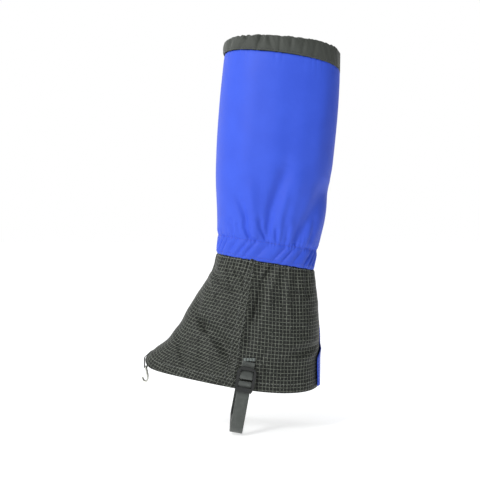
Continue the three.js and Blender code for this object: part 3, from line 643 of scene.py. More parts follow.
def ripstop_material():
    n = Nodes("ripstop")
    u, v = n.cloth_uv()
    grid_u, grid_v = n.lines(u, 4.25, 0.62), n.lines(v, 4.25, 0.62)
    strength = n.math("MULTIPLY_ADD", n.noise(620, 2, 0.5), 2.6, -0.72, clamp=True)
    grid = n.math("MULTIPLY", n.math("MAXIMUM", grid_u, grid_v, clamp=True), strength, clamp=True)
    warp, weft = n.thread(u, 0.53), n.thread(v, 0.53)
    weave = n.math("MULTIPLY", warp, weft)
    drift = n.noise(45, 4)
    ground = n.mix(n.math("MULTIPLY", drift, 0.9, clamp=True), srgb(19, 20, 18), srgb(34, 36, 33))
    # Painted highlight: the weave's thread crests are lightened.
    ground = n.mix(n.math("MULTIPLY", weave, 0.25), ground, srgb(45, 48, 44))
    colour = n.mix(n.math("MULTIPLY", grid, 0.85), ground, srgb(128, 133, 122))
    creases = n.bump(n.noise(170, 5, 0.6), 0.4, 0.7)
    raised = n.bump(grid, 0.5, 0.25, creases)
    surface = n.bump(weave, 0.2, 0.12, raised)
    rough = n.math("MULTIPLY_ADD", grid, -0.12, 0.55)
    return n.finish(Base_Color=colour, Roughness=rough, Normal=surface, Sheen_Weight=0.04,
                    Sheen_Roughness=0.4, Specular_IOR_Level=0.22)


def webbing_material(name="webbing", colour=(83, 87, 84), dark=(53, 56, 54), pale=(108, 112, 107)):
    n = Nodes(name)
    u, v = n.cloth_uv()
    rib = n.thread(u, 1.35)
    column = n.math("FLOOR", n.math("DIVIDE", u, 1.35))
    pick = n.thread(n.math("ADD", v, n.math("MULTIPLY", column, 0.45)), 0.9)
    relief = n.math("MULTIPLY_ADD", pick, 0.35, rib)
    worn = n.noise(210, 4)
    # Painted shade: the grooves between the ribs and picks are darkened to the dark colour; the pale rubbed
    # patches are wear.
    base = n.mix(n.math("MULTIPLY", relief, 0.72, clamp=True), srgb(*dark), srgb(*colour))
    rubbed = n.math("MULTIPLY", n.math("SUBTRACT", worn, 0.45, clamp=True), 0.9)
    surface = n.bump(relief, 0.55, 0.3)
    return n.finish(Base_Color=n.mix(rubbed, base, srgb(*pale)), Roughness=0.72, Normal=surface,
                    Sheen_Weight=0.3, Sheen_Roughness=0.5, Specular_IOR_Level=0.35)


def thread_material(name, colour):
    n = Nodes(name)
    twist = n.noise(1800, 2)
    lit = srgb(*colour)
    shaded = tuple(0.55 * c for c in lit[:3]) + (1.0,)
    base = n.mix(n.math("MULTIPLY", twist, 0.6), lit, shaded)
    return n.finish(Base_Color=base, Roughness=0.6, Sheen_Weight=0.3, Normal=n.bump(twist, 0.4, 0.1))


def touch_material():
    n = Nodes("touch_tape")
    fuzz = n.noise(2600, 4, 0.7)
    patches = n.noise(260, 3)
    colour = n.mix(n.math("MULTIPLY", fuzz, patches), srgb(12, 12, 13), srgb(38, 38, 41))
    return n.finish(Base_Color=colour, Roughness=0.95, Normal=n.bump(fuzz, 0.8, 0.5), Sheen_Weight=0.08,
                    Sheen_Roughness=0.6, Specular_IOR_Level=0.12)


def plastic_material():
    n = Nodes("black_acetal")
    grain = n.noise(1500, 3)
    scuffs = n.noise(190, 6, 0.65)
    colour = n.mix(n.math("SUBTRACT", scuffs, 0.5, clamp=True), srgb(19, 21, 20), srgb(50, 52, 51))
    rough = n.math("MULTIPLY_ADD", scuffs, 0.25, 0.28)
    return n.finish(Base_Color=colour, Roughness=rough, Normal=n.bump(grain, 0.12, 0.12),
                    Specular_IOR_Level=0.5)


def metal_material():
    n = Nodes("nickel")
    scratches = n.noise(900, 5, 0.7)
    smudge = n.noise(120, 4)
    colour = n.mix(smudge, srgb(176, 176, 168), srgb(208, 208, 202))
    rough = n.math("MULTIPLY_ADD", scratches, 0.22, 0.16)
    return n.finish(Base_Color=colour, Metallic=1.0, Roughness=rough, Normal=n.bump(scratches, 0.08, 0.05))


def tape_material():
    n = Nodes("zip_tape")
    u, v = n.cloth_uv()
    bone = n.thread(n.math("ADD", v, n.math("MULTIPLY", n.thread(u, 1.6), 0.8)), 1.1)
    # Painted highlight and shade: the herringbone ribs are lighter on their crests and darker in their
    # grooves.
    colour = n.mix(n.math("MULTIPLY", bone, 0.6), srgb(24, 26, 34), srgb(48, 50, 60))
    return n.finish(Base_Color=colour, Roughness=0.8, Normal=n.bump(bone, 0.5, 0.25), Sheen_Weight=0.25)


def coil_material():
    n = Nodes("zip_coil")
    wear = n.noise(420, 4)
    colour = n.mix(wear, srgb(22, 23, 28), srgb(44, 46, 54))
    return n.finish(Base_Color=colour, Roughness=0.38, Normal=n.bump(wear, 0.1, 0.1), Specular_IOR_Level=0.5)


def elastic_material():
    n = Nodes("elastic")
    u, v = n.cloth_uv()
    rib = n.thread(v, 2.0)
    cross = n.thread(u, 1.1)
    relief = n.math("MULTIPLY_ADD", cross, 0.5, rib)
    # Painted shade and highlight: the grooves between the ribs are darker and their crests lighter.
    colour = n.mix(n.math("MULTIPLY", relief, 0.6, clamp=True), srgb(176, 176, 170), srgb(232, 232, 226))
    return n.finish(Base_Color=colour, Roughness=0.85, Normal=n.bump(relief, 0.6, 0.4), Sheen_Weight=0.2)


# Woven looks: the cloth's colour, the darker colour of its drift, the painted highlight colour of its thread
# crests, then pitch, roughness, sheen and sheen tint.
MATERIALS = {
    "blue": woven("blue_nylon", srgb(58, 90, 216), srgb(49, 78, 200), srgb(88, 124, 234), 0.42, 0.5, 0.12,
                  srgb(110, 140, 255)),
    "grey": woven("grey_cloth", srgb(76, 79, 75), srgb(60, 63, 59), srgb(96, 99, 94), 0.5, 0.6, 0.22,
                  srgb(220, 222, 218)),
    "ripstop": ripstop_material(),
    "webbing": webbing_material(),
    # The dark webbing's colours: its ribs, the painted shade in its grooves, and its rubbed wear.
    "dark_webbing": webbing_material("dark_webbing", (42, 45, 43), (24, 26, 25), (66, 70, 67)),
    "touch": touch_material(),
    "plastic": plastic_material(),
    "metal": metal_material(),
    "tape": tape_material(),
    "coil": coil_material(),
    "elastic": elastic_material(),
    "blue_thread": thread_material("blue_thread", (38, 60, 190)),
    "grey_thread": thread_material("grey_thread", (120, 124, 118)),
    "dark_thread": thread_material("dark_thread", (40, 42, 41)),
    "pale_thread": thread_material("pale_thread", (176, 190, 186)),
}


def place(obj, look, body, *nodes):
    """Gives a piece its material and slot, its body and the CAD nodes that it stands for."""
    obj.data.materials.append(MATERIALS[look])
    if body:
        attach(obj, body)
    if nodes:
        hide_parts(*nodes)
    return obj


# ---- The shell's panels ----

# Columns and rows of each panel's grid, fine enough for its smallest folds.
UPPER_GRID, FRONT_GRID, OUTER_GRID, INNER_GRID = (520, 250), (340, 170), (170, 170), (150, 170)
CLOTH_THICK = 0.9
FRONT_GRAIN = math.radians(-8)


def shell_panel(name, start, end, low, high, grid, relief, look, node, turn=0.0, spread=0.5, droop=None):
    """A panel of cloth that follows the skin with its relief; droop moves its points up or down."""
    columns, rows = grid
    angle, z = panel_grid(crowd(columns, spread), np.linspace(0, 1, rows), start, end, low, high)
    base, out = skin(angle, z), normal(angle, z)
    if droop is not None:
        base[..., 2] += droop(angle, z)
    lift = relief(angle, z)[..., None]
    outer = base + out * lift
    inner = base + out * (lift - CLOTH_THICK)
    return place(cloth_solid(name, outer, inner, even_uv(base, turn)), look, "shell", node)


def build_shell():
    upper = shell_panel("upper_cloth", "closure_outer", "closure_inner", ANKLE_SEAM, BAND_SEAM, UPPER_GRID,
                        upper_relief, "blue", "upper_shell", spread=0.3, droop=upper_droop)
    front = shell_panel("front_cloth", "seam_outer", "seam_inner", HEM, ANKLE_SEAM, FRONT_GRID,
                        lower_relief, "ripstop", "lower_front_panel", FRONT_GRAIN)
    outer = shell_panel("rear_cloth_outer", "closure_outer", "seam_outer", HEM, ANKLE_SEAM, OUTER_GRID,
                        lower_relief, "ripstop", "lower_rear_panel_outer")
    inner = shell_panel("rear_cloth_inner", "seam_inner", "closure_inner", HEM, ANKLE_SEAM, INNER_GRID,
                        lower_relief, "ripstop", "lower_rear_panel_inner")


# The band's section: how far up it is, and how far over from its outer wall to its inner one.
BAND_SECTION = [
    (0.0, 0.0), (0.06, 0.0), (0.14, 0), (0.3, 0), (0.45, 0), (0.6, 0), (0.75, 0), (0.88, 0), (0.96, 0.12),
    (1.0, 0.35), (1.015, 0.5), (1.0, 0.65), (0.96, 0.88), (0.88, 1), (0.6, 1), (0.3, 1), (0.06, 1), (0.0, 1),
]
BAND = dict(columns=520, wall=0.8, outer=0.9, inner=-2.6)


def build_band():
    """The top band: one strip folded over at the rim, its two walls sewn down at the seam."""
    u = crowd(BAND["columns"], 0.3)
    rows, ways = [], []
    for v, over in BAND_SECTION:
        angle, z = panel_grid(u, np.array([min(v, 1.0)]), "closure_outer", "closure_inner", BAND_SEAM, RIM)
        base, out = skin(angle, z)[0], normal(angle, z)[0]
        relief = band_relief(angle, v)[0]
        lift = lerp(BAND["outer"] + relief, BAND["inner"] + 0.4 * relief, over)
        crest = rim_scallop(angle)[0] * ease((v - 0.75) / 0.25) + max(0, v - 1) * 20
        up = np.array([0, 0, 1.0])
        rows.append(base + out * lift[:, None] + up * crest[:, None])
        ways.append(out)
    outer = np.array(rows)
    facing = unit(np.cross(np.gradient(outer, axis=0), np.gradient(outer, axis=1)))
    outer_row = 3
    way = np.sign(np.sum(facing[outer_row] * ways[outer_row], -1).sum())
    obj = cloth_solid("top_band_cloth", outer, outer - facing * way * BAND["wall"], flat_lengths(outer))
    place(obj, "grey", "shell", "top_band")


# ---- Stitches ----


def along_polyline(points, at):
    """Points at the given lengths along a polyline."""
    lengths = np.concatenate([[0], np.cumsum(np.linalg.norm(np.diff(points, axis=0), axis=-1))])
    return np.stack([np.interp(at, lengths, points[:, k]) for k in range(3)], -1)


def length_of(points):
    return float(np.linalg.norm(np.diff(points, axis=0), axis=-1).sum())


STITCH = dict(length=2.5, gap=0.9, radius=0.24, sides=6)


def stitches_on(path, out):
    """The grids of tube points of a row of stitches along a path; out is the way out of the cloth there."""
    pitch = STITCH["length"] + STITCH["gap"]
    count = max(1, int(length_of(path) / pitch))
    pitch = length_of(path) / count
    share = np.array([0, 0.14, 0.5, 0.86, 1])
    sunk = np.array([-0.30, 0.05, 0.14, 0.05, -0.30])
    width = np.array([0.25, 0.95, 1, 0.95, 0.25])
    starts = (np.arange(count) + 0.5) * pitch - STITCH["length"] / 2
    at = starts[:, None] + share * STITCH["length"]
    centre = along_polyline(path, at.ravel()).reshape(count, 5, 3)
    up = unit(along_polyline(out, at.ravel() * length_of(out) / length_of(path)).reshape(count, 5, 3))
    centre = centre + up * (sunk[None, :, None] + STITCH["radius"] * 0.4)
    forward = unit(centre[:, -1] - centre[:, 0])[:, None, :]
    across = unit(np.cross(forward, up))
    turn = np.linspace(0, TURN, STITCH["sides"], endpoint=False)
    cos, sin = (wave(turn)[None, None, :, None] for wave in (np.cos, np.sin))
    ring = cos * across[:, :, None] + sin * up[:, :, None]
    return centre[:, :, None] + ring * (STITCH["radius"] * width)[None, :, None, None]


def stitch_object(name, rows, look, body):
    """One mesh of all the stitches of a list of (path, out) rows."""
    grids = np.concatenate([stitches_on(path, out) for path, out in rows])
    count, rings, sides = grids.shape[:3]
    k = np.arange(sides)
    quads = []
    for r in range(rings - 1):
        a = r * sides
        quads.append(np.stack([a + k, a + (k + 1) % sides, a + sides + (k + 1) % sides, a + sides + k], -1))
    quads = np.concatenate(quads)
    size = rings * sides
    faces = (quads[None] + (np.arange(count) * size)[:, None, None]).reshape(-1, 4).tolist()
    for i in range(count):
        faces.append([i * size + int(v) for v in k[::-1]])
        faces.append([i * size + (rings - 1) * sides + int(v) for v in k])
    return place(mesh_object(name, grids.reshape(-1, 3), faces), look, body)


def path_on_panel(angle, z, lift):
    """A stitch path on the shell, sitting on relief of a given lift."""
    return on_skin(angle, z, lift), normal(angle, z)


# ---- Swept pieces ----


def rounded_strip(width, thick, edge=5):
    """The section of a strip with rounded edges, as (across, off) pairs, counter-clockwise."""
    half, r = width / 2 - thick / 2, thick / 2
    turn = np.linspace(-math.pi / 2, math.pi / 2, edge)
    right = np.stack([half + r * np.cos(turn), r * np.sin(turn)], -1)
    flat = np.linspace(half, -half, 8)[1:-1]
    top = np.stack([flat, np.full_like(flat, r)], -1)
    left = np.stack([-half - r * np.cos(turn), -r * np.sin(turn)], -1)
    bottom = np.stack([flat[::-1], np.full_like(flat, -r)], -1)
    return np.concatenate([right, top, left, bottom])


def sweep(name, path, side, section, closed=False):
    """A section of (across, off) pairs carried along a path; side is the way across, per point or for all."""
    path = np.asarray(path, float)
    side = np.broadcast_to(np.asarray(side, float), path.shape)
    ends = (np.roll(path, -1, 0), np.roll(path, 1, 0)) if closed else (None, None)
    forward = unit(ends[0] - ends[1]) if closed else unit(np.gradient(path, axis=0))
    off = unit(np.cross(side, forward))
    across = unit(np.cross(forward, off))
    points = path[:, None] + across[:, None] * section[None, :, :1] + off[:, None] * section[None, :, 1:]
    n, m = points.shape[:2]
    count = n if closed else n - 1
    faces = []
    for i in range(count):
        a, b = i * m, ((i + 1) % n) * m
        faces += [(a + k, a + (k + 1) % m, b + (k + 1) % m, b + k) for k in range(m)]
    if not closed:
        faces += [tuple(range(m))[::-1], tuple((n - 1) * m + k for k in range(m))]
    lengths = np.concatenate([[0], np.cumsum(np.linalg.norm(np.diff(path, axis=0), axis=-1))])
    uv = np.stack([np.broadcast_to(section[:, 0], (n, m)), np.broadcast_to(lengths[:, None], (n, m))], -1)
    obj = mesh_object(name, points.reshape(-1, 3), faces, uv.reshape(-1, 2))
    face_outwards(obj)
    return obj


def circle(radius, sides):
    turn = np.linspace(0, TURN, sides, endpoint=False)
    return np.stack([radius * np.cos(turn), radius * np.sin(turn)], -1)


def smooth_curve(points, count):
    """A Catmull-Rom curve through the points, resampled evenly."""
    p = np.asarray(points, float)
    p = np.concatenate([[2 * p[0] - p[1]], p, [2 * p[-1] - p[-2]]])
    fine = []
    for i in range(1, len(p) - 2):
        t = np.linspace(0, 1, 12, endpoint=False)[:, None]
        a, b, c, d = p[i - 1:i + 3]
        fine.append(0.5 * (2 * b + (c - a) * t + (2 * a - 5 * b + 4 * c - d) * t ** 2
                           + (3 * b - a - 3 * c + d) * t ** 3))
    fine = np.concatenate(fine + [p[-2][None]])
    return along_polyline(fine, np.linspace(0, length_of(fine), count))


def arc(centre, radius, start, end, steps=12):
    """The points of an arc, by its start and end in half turns."""
    turn = math.pi * np.linspace(start, end, steps)
    return np.stack([centre[0] + radius * np.cos(turn), centre[1] + radius * np.sin(turn)], -1)


def even(path, spacing=1.5):
    """A path of (a, b) pairs resampled evenly."""
    path = np.concatenate([np.asarray(path, float), np.zeros((len(path), 1))], -1)
    total = length_of(path)
    return along_polyline(path, np.linspace(0, total, max(2, int(total / spacing))))[:, :2]


def turned(points, origin, angle):
    """Points from a frame at an origin that is turned about +Y."""
    x, y, z = np.moveaxis(np.asarray(points, float), -1, 0)
    cos, sin = math.cos(angle), math.sin(angle)
    return np.stack([origin[0] + x * cos + z * sin, origin[1] + y, origin[2] - x * sin + z * cos], -1)


# ---- The closure: zip, touch tapes and flap ----


def back_sheet(name, ys, zs, lift, thick, near=None):
    """A closed sheet behind the leg over a grid of y and height; lift is a function of both.

    near, a function of the height, moves the grid's first y and spreads the others evenly up to the last.
    """
    y, z = np.meshgrid(ys, zs)
    if near is not None:
        y = lerp(near(z), ys[-1], (y - ys[0]) / (ys[-1] - ys[0]))
    lifts = lift(y, z)
    outer = at_back(y, z, lifts + thick)
    inner = at_back(y, z, lifts)
    return cloth_solid(name, outer, inner, flat_lengths(outer))


ZIP_TAPE = dict(near=1.4, far=14, bottom=-158, top=218, low=-2.3, high=-1.7)


def build_zip():
    low, high = ZIP_TAPE["low"], ZIP_TAPE["high"]
    for side, word in ((-1, "outer"), (1, "inner")):
        ys = CLOSURE_Y + side * np.linspace(ZIP_TAPE["near"], ZIP_TAPE["far"], 12)
        tape = back_sheet(f"tape_{word}", ys, np.linspace(ZIP_TAPE["bottom"], ZIP_TAPE["top"], 200),
                          lambda y, z: low + 0.12 * np.sin(z / 9) * np.sin(y / 3), high - low)
        place(tape, "tape", "shell", f"zip_tape_{word}")
        place(zip_teeth(f"teeth_{word}", side), "coil", "shell", f"zip_coil_{word}")


COIL = dict(top=213.7, bottom=-142, pitch=1.5, inner=0.35, outer=3.0, low=-1.15, high=0.55, wire=0.32)


def zip_teeth(name, side):
    """A coil of monofilament; the two sides' loops take turns along the centreline."""
    turns = int((COIL["top"] - COIL["bottom"]) / COIL["pitch"])
    t = np.arange(turns * 10) / 10
    shift = 0 if side > 0 else 0.5
    z = COIL["bottom"] + (t + shift) * COIL["pitch"]
    turn = TURN * t
    middle = (COIL["outer"] + COIL["inner"]) / 2
    reach = (COIL["outer"] - COIL["inner"]) / 2 - COIL["wire"]
    y = CLOSURE_Y + side * (middle - reach * np.cos(turn))
    tall = (COIL["high"] - COIL["low"]) / 2 - COIL["wire"]
    lift = (COIL["high"] + COIL["low"]) / 2 + tall * np.sin(turn)
    path = np.stack([closure_x(z, lift), y, z], -1)
    return sweep(name, path, (0, 0, 1), circle(COIL["wire"], 5))


def flap_lift(y, z):
    f = FLAP
    bulge = lerp(f["bulge"], f["taped"], ease((f["flat_below"] - z) / f["flat_over"]))
    over = ease((y - f["rise"]) / (f["full"] - f["rise"])) * (bulge - f["taped"])
    down = ease((y - f["fall"]) / (f["hinge"] - f["fall"])) * (f["edge"] - bulge)
    wrapped = ease((y - f["wrap_fall"]) / (f["wrap_flat"] - f["wrap_fall"])) * (f["wrap_lift"] - f["taped"])
    loose = ease((10 - y) / 9)
    ripple = 0.35 * np.sin(z / 11.7 + y / 9) * np.sin(z / 27 + 1.1) + 0.3 * loose * np.sin(z / 8.3 + 0.6)
    sewn = 1 - ease((y - f["hinge"]) / 4)
    hems = 0.25 * ease((y - 32) / 1.5) + 0.25 * loose
    gather = 0.8 * bell(z - 3, 14) * valleys(wander(z, 6.5, 31), 2) * sewn
    gather = np.minimum(gather + 0.5 * bell(z - 3, 18), 0.6) * sewn
    return f["taped"] + over + down + wrapped + ripple * sewn + hems + gather


def flap_free(z):
    """The flap's free edge, which wraps further round over the heel."""
    return FLAP["free"] - FLAP["wrap"] * ease((FLAP["wrap_from"] - z) / FLAP["wrap_over"])


def build_flap():
    ys = np.linspace(FLAP["free"], FLAP["sewn"], 76)
    flap = back_sheet("flap_cloth", ys, np.linspace(FLAP_BOTTOM, FLAP_TOP, 420), flap_lift, FLAP["thick"],
                      near=flap_free)
    place(flap, "blue", None, "storm_flap", "flap_sewn_edge")
    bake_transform(flap)
    tape_z = np.linspace(-158, 178, 240)
    tape_y = np.linspace(1.5, 10.5, 14)
    for word, body, low, high in (("loop", "shell", 0.5, 1.2), ("hook", "flap", 1.6, 2.3)):
        tape = back_sheet(f"{word}_tape", tape_y, tape_z, lambda y, z, low=low: low + 0 * y, high - low)
        place(tape, "touch", body, f"flap_{word}_tape")


TAB = dict(low=223, high=247.3, free=-1, taped=12, hinge=28.5, sewn=44, thick=1.9, lift=4.8, edge=1.6)


def build_top_tab():
    def lift(y, z):
        return lerp(TAB["lift"], TAB["edge"], ease((y - TAB["taped"]) / (TAB["hinge"] - TAB["taped"])))

    zs = np.linspace(TAB["low"], TAB["high"], 30)
    tab = back_sheet("tab_strip", np.linspace(TAB["free"], TAB["sewn"], 60), zs, lift, TAB["thick"])
    place(tab, "touch", None, "top_tab", "top_tab_base")
    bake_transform(tab)
    for word, body, low in (("loop", "shell", 1.6), ("hook", "top_tab", 3.2)):
        patch = back_sheet(f"tab_{word}_patch", np.linspace(0.5, 11, 14), np.linspace(224, 246.3, 24),
                           lambda y, z, low=low: low + 0 * y, 1.2)
        place(patch, "touch", body, f"top_tab_{word}_patch")


# ---- The elastics and the ankle casing ----


def build_elastics():
    def strip(name, levels, edges, share, lifts, ripple, look, node, flat, rests):
        """A strip inside the shell between two shares of the way up from one level to the next."""
        heights = np.linspace(*share, 12)
        angle, z = panel_grid(np.linspace(0.006, 0.994, 420), heights, *edges, *levels)
        wave = ripple(angle, z, heights[:, None])
        out = on_skin(angle, z, lifts[0] + wave)
        obj = cloth_solid(name, out, on_skin(angle, z, lifts[1] + wave), flat_lengths(out))
        place(obj, look, "shell", node)

    def shallow(depth):
        return lambda angle, z, v: (depth * swell(wander(around(angle), 5.2, 41, 0.4))
                                    * clear_of_closure(angle, z))

    def under_band(angle, z, v):
        return 0.7 * np.minimum(band_relief(angle, v), 0)

    band = (BAND_SEAM, RIM), ("closure_outer", "closure_inner")
    ankle = (ANKLE_SEAM, GATHER_LINE), ("elastic_outer", "elastic_inner")
    strip("top_elastic_strip", *band, (0.15, 0.85), (-0.6, -1.3), under_band, "elastic", "top_elastic",
          (0.385, 0.0145), ["top_band_cloth"])
    strip("ankle_elastic_strip", *ankle, (0.12, 0.88), (-2.4, -3.3), shallow(0.1), "elastic", "ankle_elastic",
          (0.295, 0.019), ["ankle_casing_cloth"])
    strip("ankle_casing_cloth", *ankle, (0.0, 1.0), (-3.6, -4.3), shallow(0.15), "blue", "ankle_casing",
          (0.295, 0.026), ["upper_cloth"])


# ---- The foot strap, its buckle and its anchors ----


def strap_frame(points):
    return turned(points, (STRAP["x"], 0, STRAP["z"]), STRAP["lean"])


def in_strap_plane(path):
    """(y, z) pairs as points of the strap's frame."""
    path = np.asarray(path, float)
    return np.stack([np.zeros(len(path)), path[:, 0], path[:, 1]], -1)


STRAP_SIDE = np.array([math.cos(STRAP["lean"]), 0, -math.sin(STRAP["lean"])])
TAIL_STEP, TAIL_END, STRAP_SPLIT = 1.65, 76, 40.5
FRAME_Y = -STRAP["y"] - (BUCKLE["wrap"] - TAIL_STEP)


def build_strap():
    y, depth, corner = STRAP["y"], STRAP["depth"], STRAP["corner"]
    tail_y = TAIL_STEP - y
    path = np.concatenate([
        [[tail_y, -TAIL_END], [tail_y + 0.15, -60], [tail_y, -STRAP_SPLIT - 2]],
        arc((FRAME_Y, -BUCKLE["strap_bar"]), BUCKLE["wrap"], 0, 1.25, 20),
        [[-y, -33.4], [-y, -36], [-y, -STRAP_SPLIT], [-y - 0.1, -60]],
        arc((corner - y, corner - depth), corner, 1, 1.5, 20),
        [[-20, -depth], [20, -depth]],
        arc((y - corner, corner - depth), corner, 1.5, 2, 20),
        [[y, -40], [y, STRAP["top"]]],
    ])
    points = strap_frame(in_strap_plane(even(path, 1.2)))
    strap = sweep("strap_webbing", points, STRAP_SIDE, rounded_strip(STRAP["width"], STRAP["thick"]))
    place(strap, "webbing", None, "foot_strap", "strap_free_end", "foot_strap_in_buckle")
    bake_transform(strap)
    under = -BUCKLE["top"] - 3.5
    tab = np.concatenate([
        [[FRAME_Y + 4.95, STRAP["top"]], [FRAME_Y + 4.95, under]],
        arc((FRAME_Y, -BUCKLE["bar"]), BUCKLE["wrap"], 0, -1, 20),
        [[FRAME_Y + 3.4, under], [FRAME_Y + 3.4, STRAP["top"]]],
    ])
    obj = sweep("buckle_loop", strap_frame(in_strap_plane(even(tab, 1.0))), STRAP_SIDE,
                rounded_strip(STRAP["width"], 1.15))
    place(obj, "webbing", "buckle", "buckle_tab")


def anchor_points(side, across, up, lift):
    """Points of the webbing sewn to the shell above the strap, on the outer (1) or inner (-1) side."""
    x, z = STRAP["x"] + across, STRAP["z"] + up
    angle = side * angle_where(0, x, z, 0.05, math.pi)
    return on_skin(angle, z, lift), normal(angle, z)


def build_anchors():
    rows = []
    for side, word in ((1, "outer"), (-1, "inner")):
        across, up = np.meshgrid(np.linspace(-7.6, 7.6, 20), np.linspace(-3.2, 0.6, 8))
        outer, _ = anchor_points(side, across, up, np.full(across.shape, 1.6))
        inner, _ = anchor_points(side, across, up, np.full(across.shape, 0.4))
        uv = np.stack([across, up], -1)
        place(cloth_solid(f"anchor_{word}", outer, inner, uv), "webbing", "shell", f"strap_anchor_{word}")
        for height in (-2.5, -1.4, -0.3):
            t = np.linspace(-6.8, 6.8, 12)
            rows.append(anchor_points(side, t, np.full(12, height), np.full(12, 1.6)))
    stitch_object("anchor_stitches", rows, "pale_thread", "shell")


# ---- The lace hook ----


def build_hook():
    half, nose = 4.3, 2.2
    side = [(0, half - 1.2, 0), (-0.2, half, -1.4), (-0.6, half, -7), (-1.2, half - 0.6, -13),
            (-3.4, half - 1.3, -17.2), (-6.6, nose, -16.8), (-7.8, nose - 0.8, -12.4)]
    loop = [(0, 0.4, 0), *side, (-7.9, 0, -11.6), *[(x, -y, z) for x, y, z in reversed(side)], (0, -0.4, 0)]
    path = turned(smooth_curve(loop, 150), (HOOK["x"], 0, HOOK["z"]), -HOOK["hang"])
    forward = unit(np.gradient(path, axis=0))
    steady = unit(np.cross(forward, np.array([0.31, 0.02, 0.95])))
    hook = sweep("hook_wire", path, steady, circle(HOOK["wire"], 14))
    place(hook, "metal", "hook", "lace_hook")
    fold = np.concatenate([
        [[-145.6, -124.6], [-154.2, -132.7]],
        arc((HOOK["x"], HOOK["z"]), 1.8, 1, 2, 16),
        [[-150.2, -136.6], [-142.6, -128.6]],
    ])
    fold = even(fold, 0.7)
    path = np.stack([fold[:, 0], np.zeros(len(fold)), fold[:, 1]], -1)
    tab = sweep("hook_loop", path, (0, 1, 0), rounded_strip(6.2, 0.95))
    place(tab, "dark_webbing", "shell", "hook_tab")


# ---- The seams' stitches ----

# How far the side seams' stitches stand off the cloth, on its folded seam.
FELL = 0.55


def build_seam_stitches():
    round_leg = np.linspace(0.004, 0.996, 420)

    def ring(levels, offset, relief, extra=0.0):
        angle, z = panel_grid(round_leg, np.array([0.0]), "closure_outer", "closure_inner", levels, levels)
        angle, z = angle[0], z[0] + offset
        return path_on_panel(angle, z, relief(angle, z) + extra)

    blue_rows = [ring(GATHER_LINE, 0.0, upper_relief), ring(ANKLE_SEAM, 2.6, upper_relief)]
    stitch_object("blue_stitches", blue_rows, "blue_thread", "shell")
    dark_rows = [ring(HEM, 10.0, lower_relief), ring(ANKLE_SEAM, -3.2, lower_relief)]
    z = np.linspace(-150, -16, 200)
    for sign in (1, -1):
        for shift in (0.03, 0.115):
            angle = seam_angle(z) + shift
            keep = (z > level(HEM, angle) + 1) & (z < level(ANKLE_SEAM, angle) - 1)
            at, height = sign * angle[keep], z[keep]
            dark_rows.append(path_on_panel(at, height, lower_relief(at, height) + FELL))
    stitch_object("lower_stitches", dark_rows, "grey_thread", "shell")
    seam = ring(BAND_SEAM, 2.2, lambda angle, z: 0.9 + band_relief(angle, np.full_like(angle, 0.1)))
    stitch_object("band_stitches", [seam], "dark_thread", "shell")
    z = np.linspace(FLAP_BOTTOM + 3, FLAP_TOP - 3, 300)

    def flap_row(y):
        return at_back(y, z, flap_lift(y, z) + FLAP["thick"]), normal(angle_where(1, y, z, -1.5, 1.5), z)

    sewn_rows = [flap_row(np.full_like(z, y)) for y in (31.5, 36.4)]
    stitch_object("flap_free_stitches", [flap_row(flap_free(z) + 2.2)], "blue_thread", "flap")
    stitch_object("flap_sewn_stitches", sewn_rows, "blue_thread", "shell")


# ---- Materials for the nodes kept from the CAD ----


def dress_cad():
    metal = ["zip_slider", "zip_pull", "zip_stop_outer", "zip_stop_inner"]
    looks = dict.fromkeys(metal, "metal") | dict.fromkeys(["zip_box", "zip_pin", "ladder_buckle"], "plastic")
    for name, look in looks.items():
        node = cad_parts[name]
        node.data.materials.clear()
        node.data.materials.append(MATERIALS[look])
        bevel = node.modifiers.new("soft_edges", "BEVEL")
        bevel.width = (0.7 if name == "ladder_buckle" else 0.22) * MM
        bevel.segments = 3
        bevel.limit_method = "ANGLE"
        bevel.angle_limit = math.radians(35)
        bevel.harden_normals = True


# ---- Camera, light and floor ----


def area_light(name, place_at, target, size, power):
    light = bpy.data.lights.new(name, "AREA")
    light.shape = "RECTANGLE"
    light.size, light.size_y = size
    light.energy = power
    obj = bpy.data.objects.new(name, light)
    obj.location = place_at
    direction = Vector(target) - Vector(place_at)
    obj.rotation_euler = direction.to_track_quat("-Z", "Y").to_euler()
    bpy.context.scene.collection.objects.link(obj)


FLOOR_REACH, FLOOR_Z = 80000, -219
# The world is white towards this way and dark away from it, between two cosines.
WORLD_WAY, WORLD_FROM, WORLD_TO, WORLD_DARK = (-0.75, 0.55, 0.35), -0.1, 0.28, 0.12


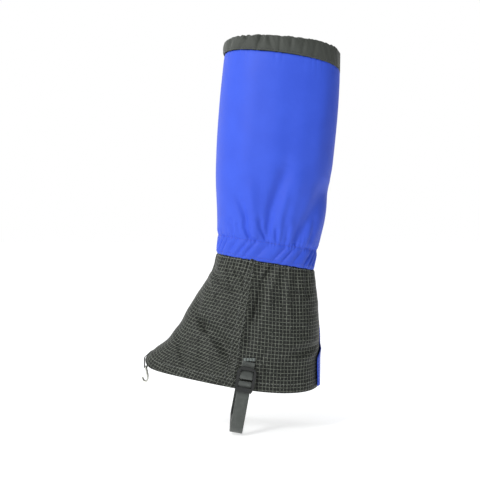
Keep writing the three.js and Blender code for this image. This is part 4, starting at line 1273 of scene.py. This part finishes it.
def build_floor():
    corners = [(x * FLOOR_REACH, y * FLOOR_REACH, FLOOR_Z) for x, y in ((-1, -1), (1, -1), (1, 1), (-1, 1))]
    floor = mesh_object("floor", corners, [(0, 1, 2, 3)], smooth=False)
    n = Nodes("floor")
    speckle = n.noise(60, 3)
    paper = n.mix(speckle, srgb(205, 207, 206), srgb(211, 212, 212))
    floor.data.materials.append(n.finish(Base_Color=paper, Roughness=0.95, Emission_Color=(1, 1, 1, 1),
                                         Emission_Strength=0.64))


def build_world():
    world = bpy.data.worlds.new("studio")
    world.use_nodes = True
    tree = world.node_tree
    background = tree.nodes["Background"].inputs
    place_in = tree.nodes.new("ShaderNodeTexCoord")
    towards = tree.nodes.new("ShaderNodeVectorMath")
    towards.operation = "DOT_PRODUCT"
    towards.inputs[1].default_value = Vector(WORLD_WAY).normalized()
    fall = tree.nodes.new("ShaderNodeMapRange")
    limits = {"From Min": WORLD_FROM, "From Max": WORLD_TO, "To Min": WORLD_DARK, "To Max": 1.0}
    for name, value in limits.items():
        fall.inputs[name].default_value = value
    tree.links.new(place_in.outputs["Generated"], towards.inputs[0])
    tree.links.new(towards.outputs["Value"], fall.inputs["Value"])
    tree.links.new(fall.outputs[0], background["Strength"])
    background["Color"].default_value = (1, 1, 1, 1)
    bpy.context.scene.world = world


def build_lights():
    area_light("key", (-1.05, -1.5, 1.15), (0, 0, 0.02), (0.45, 0.6), 25)
    area_light("front", (-0.2, -1.7, 0.9), (0, 0, 0), (0.7, 0.7), 1.5)


# The camera's distance and the width of its view at the leg's middle, in metres.
CAMERA_DISTANCE, VIEW_WIDTH, SENSOR = 1.15, 0.6, 36


def build_camera():
    camera = bpy.data.cameras.new("camera")
    camera.sensor_width = SENSOR
    camera.lens = SENSOR * CAMERA_DISTANCE / VIEW_WIDTH
    camera.clip_end = 200
    obj = bpy.data.objects.new("camera", camera)
    obj.location = (-0.0348, -CAMERA_DISTANCE, 0.014)
    obj.rotation_euler = (math.radians(90), 0, 0)
    bpy.context.scene.collection.objects.link(obj)
    bpy.context.scene.camera = obj
    bpy.context.scene.view_settings.view_transform = "Standard"


build_camera()
build_floor()
build_world()
build_lights()
build_shell()
build_band()
build_elastics()
build_zip()
build_flap()
build_top_tab()
build_strap()
build_anchors()
build_hook()
build_seam_stitches()
dress_cad()
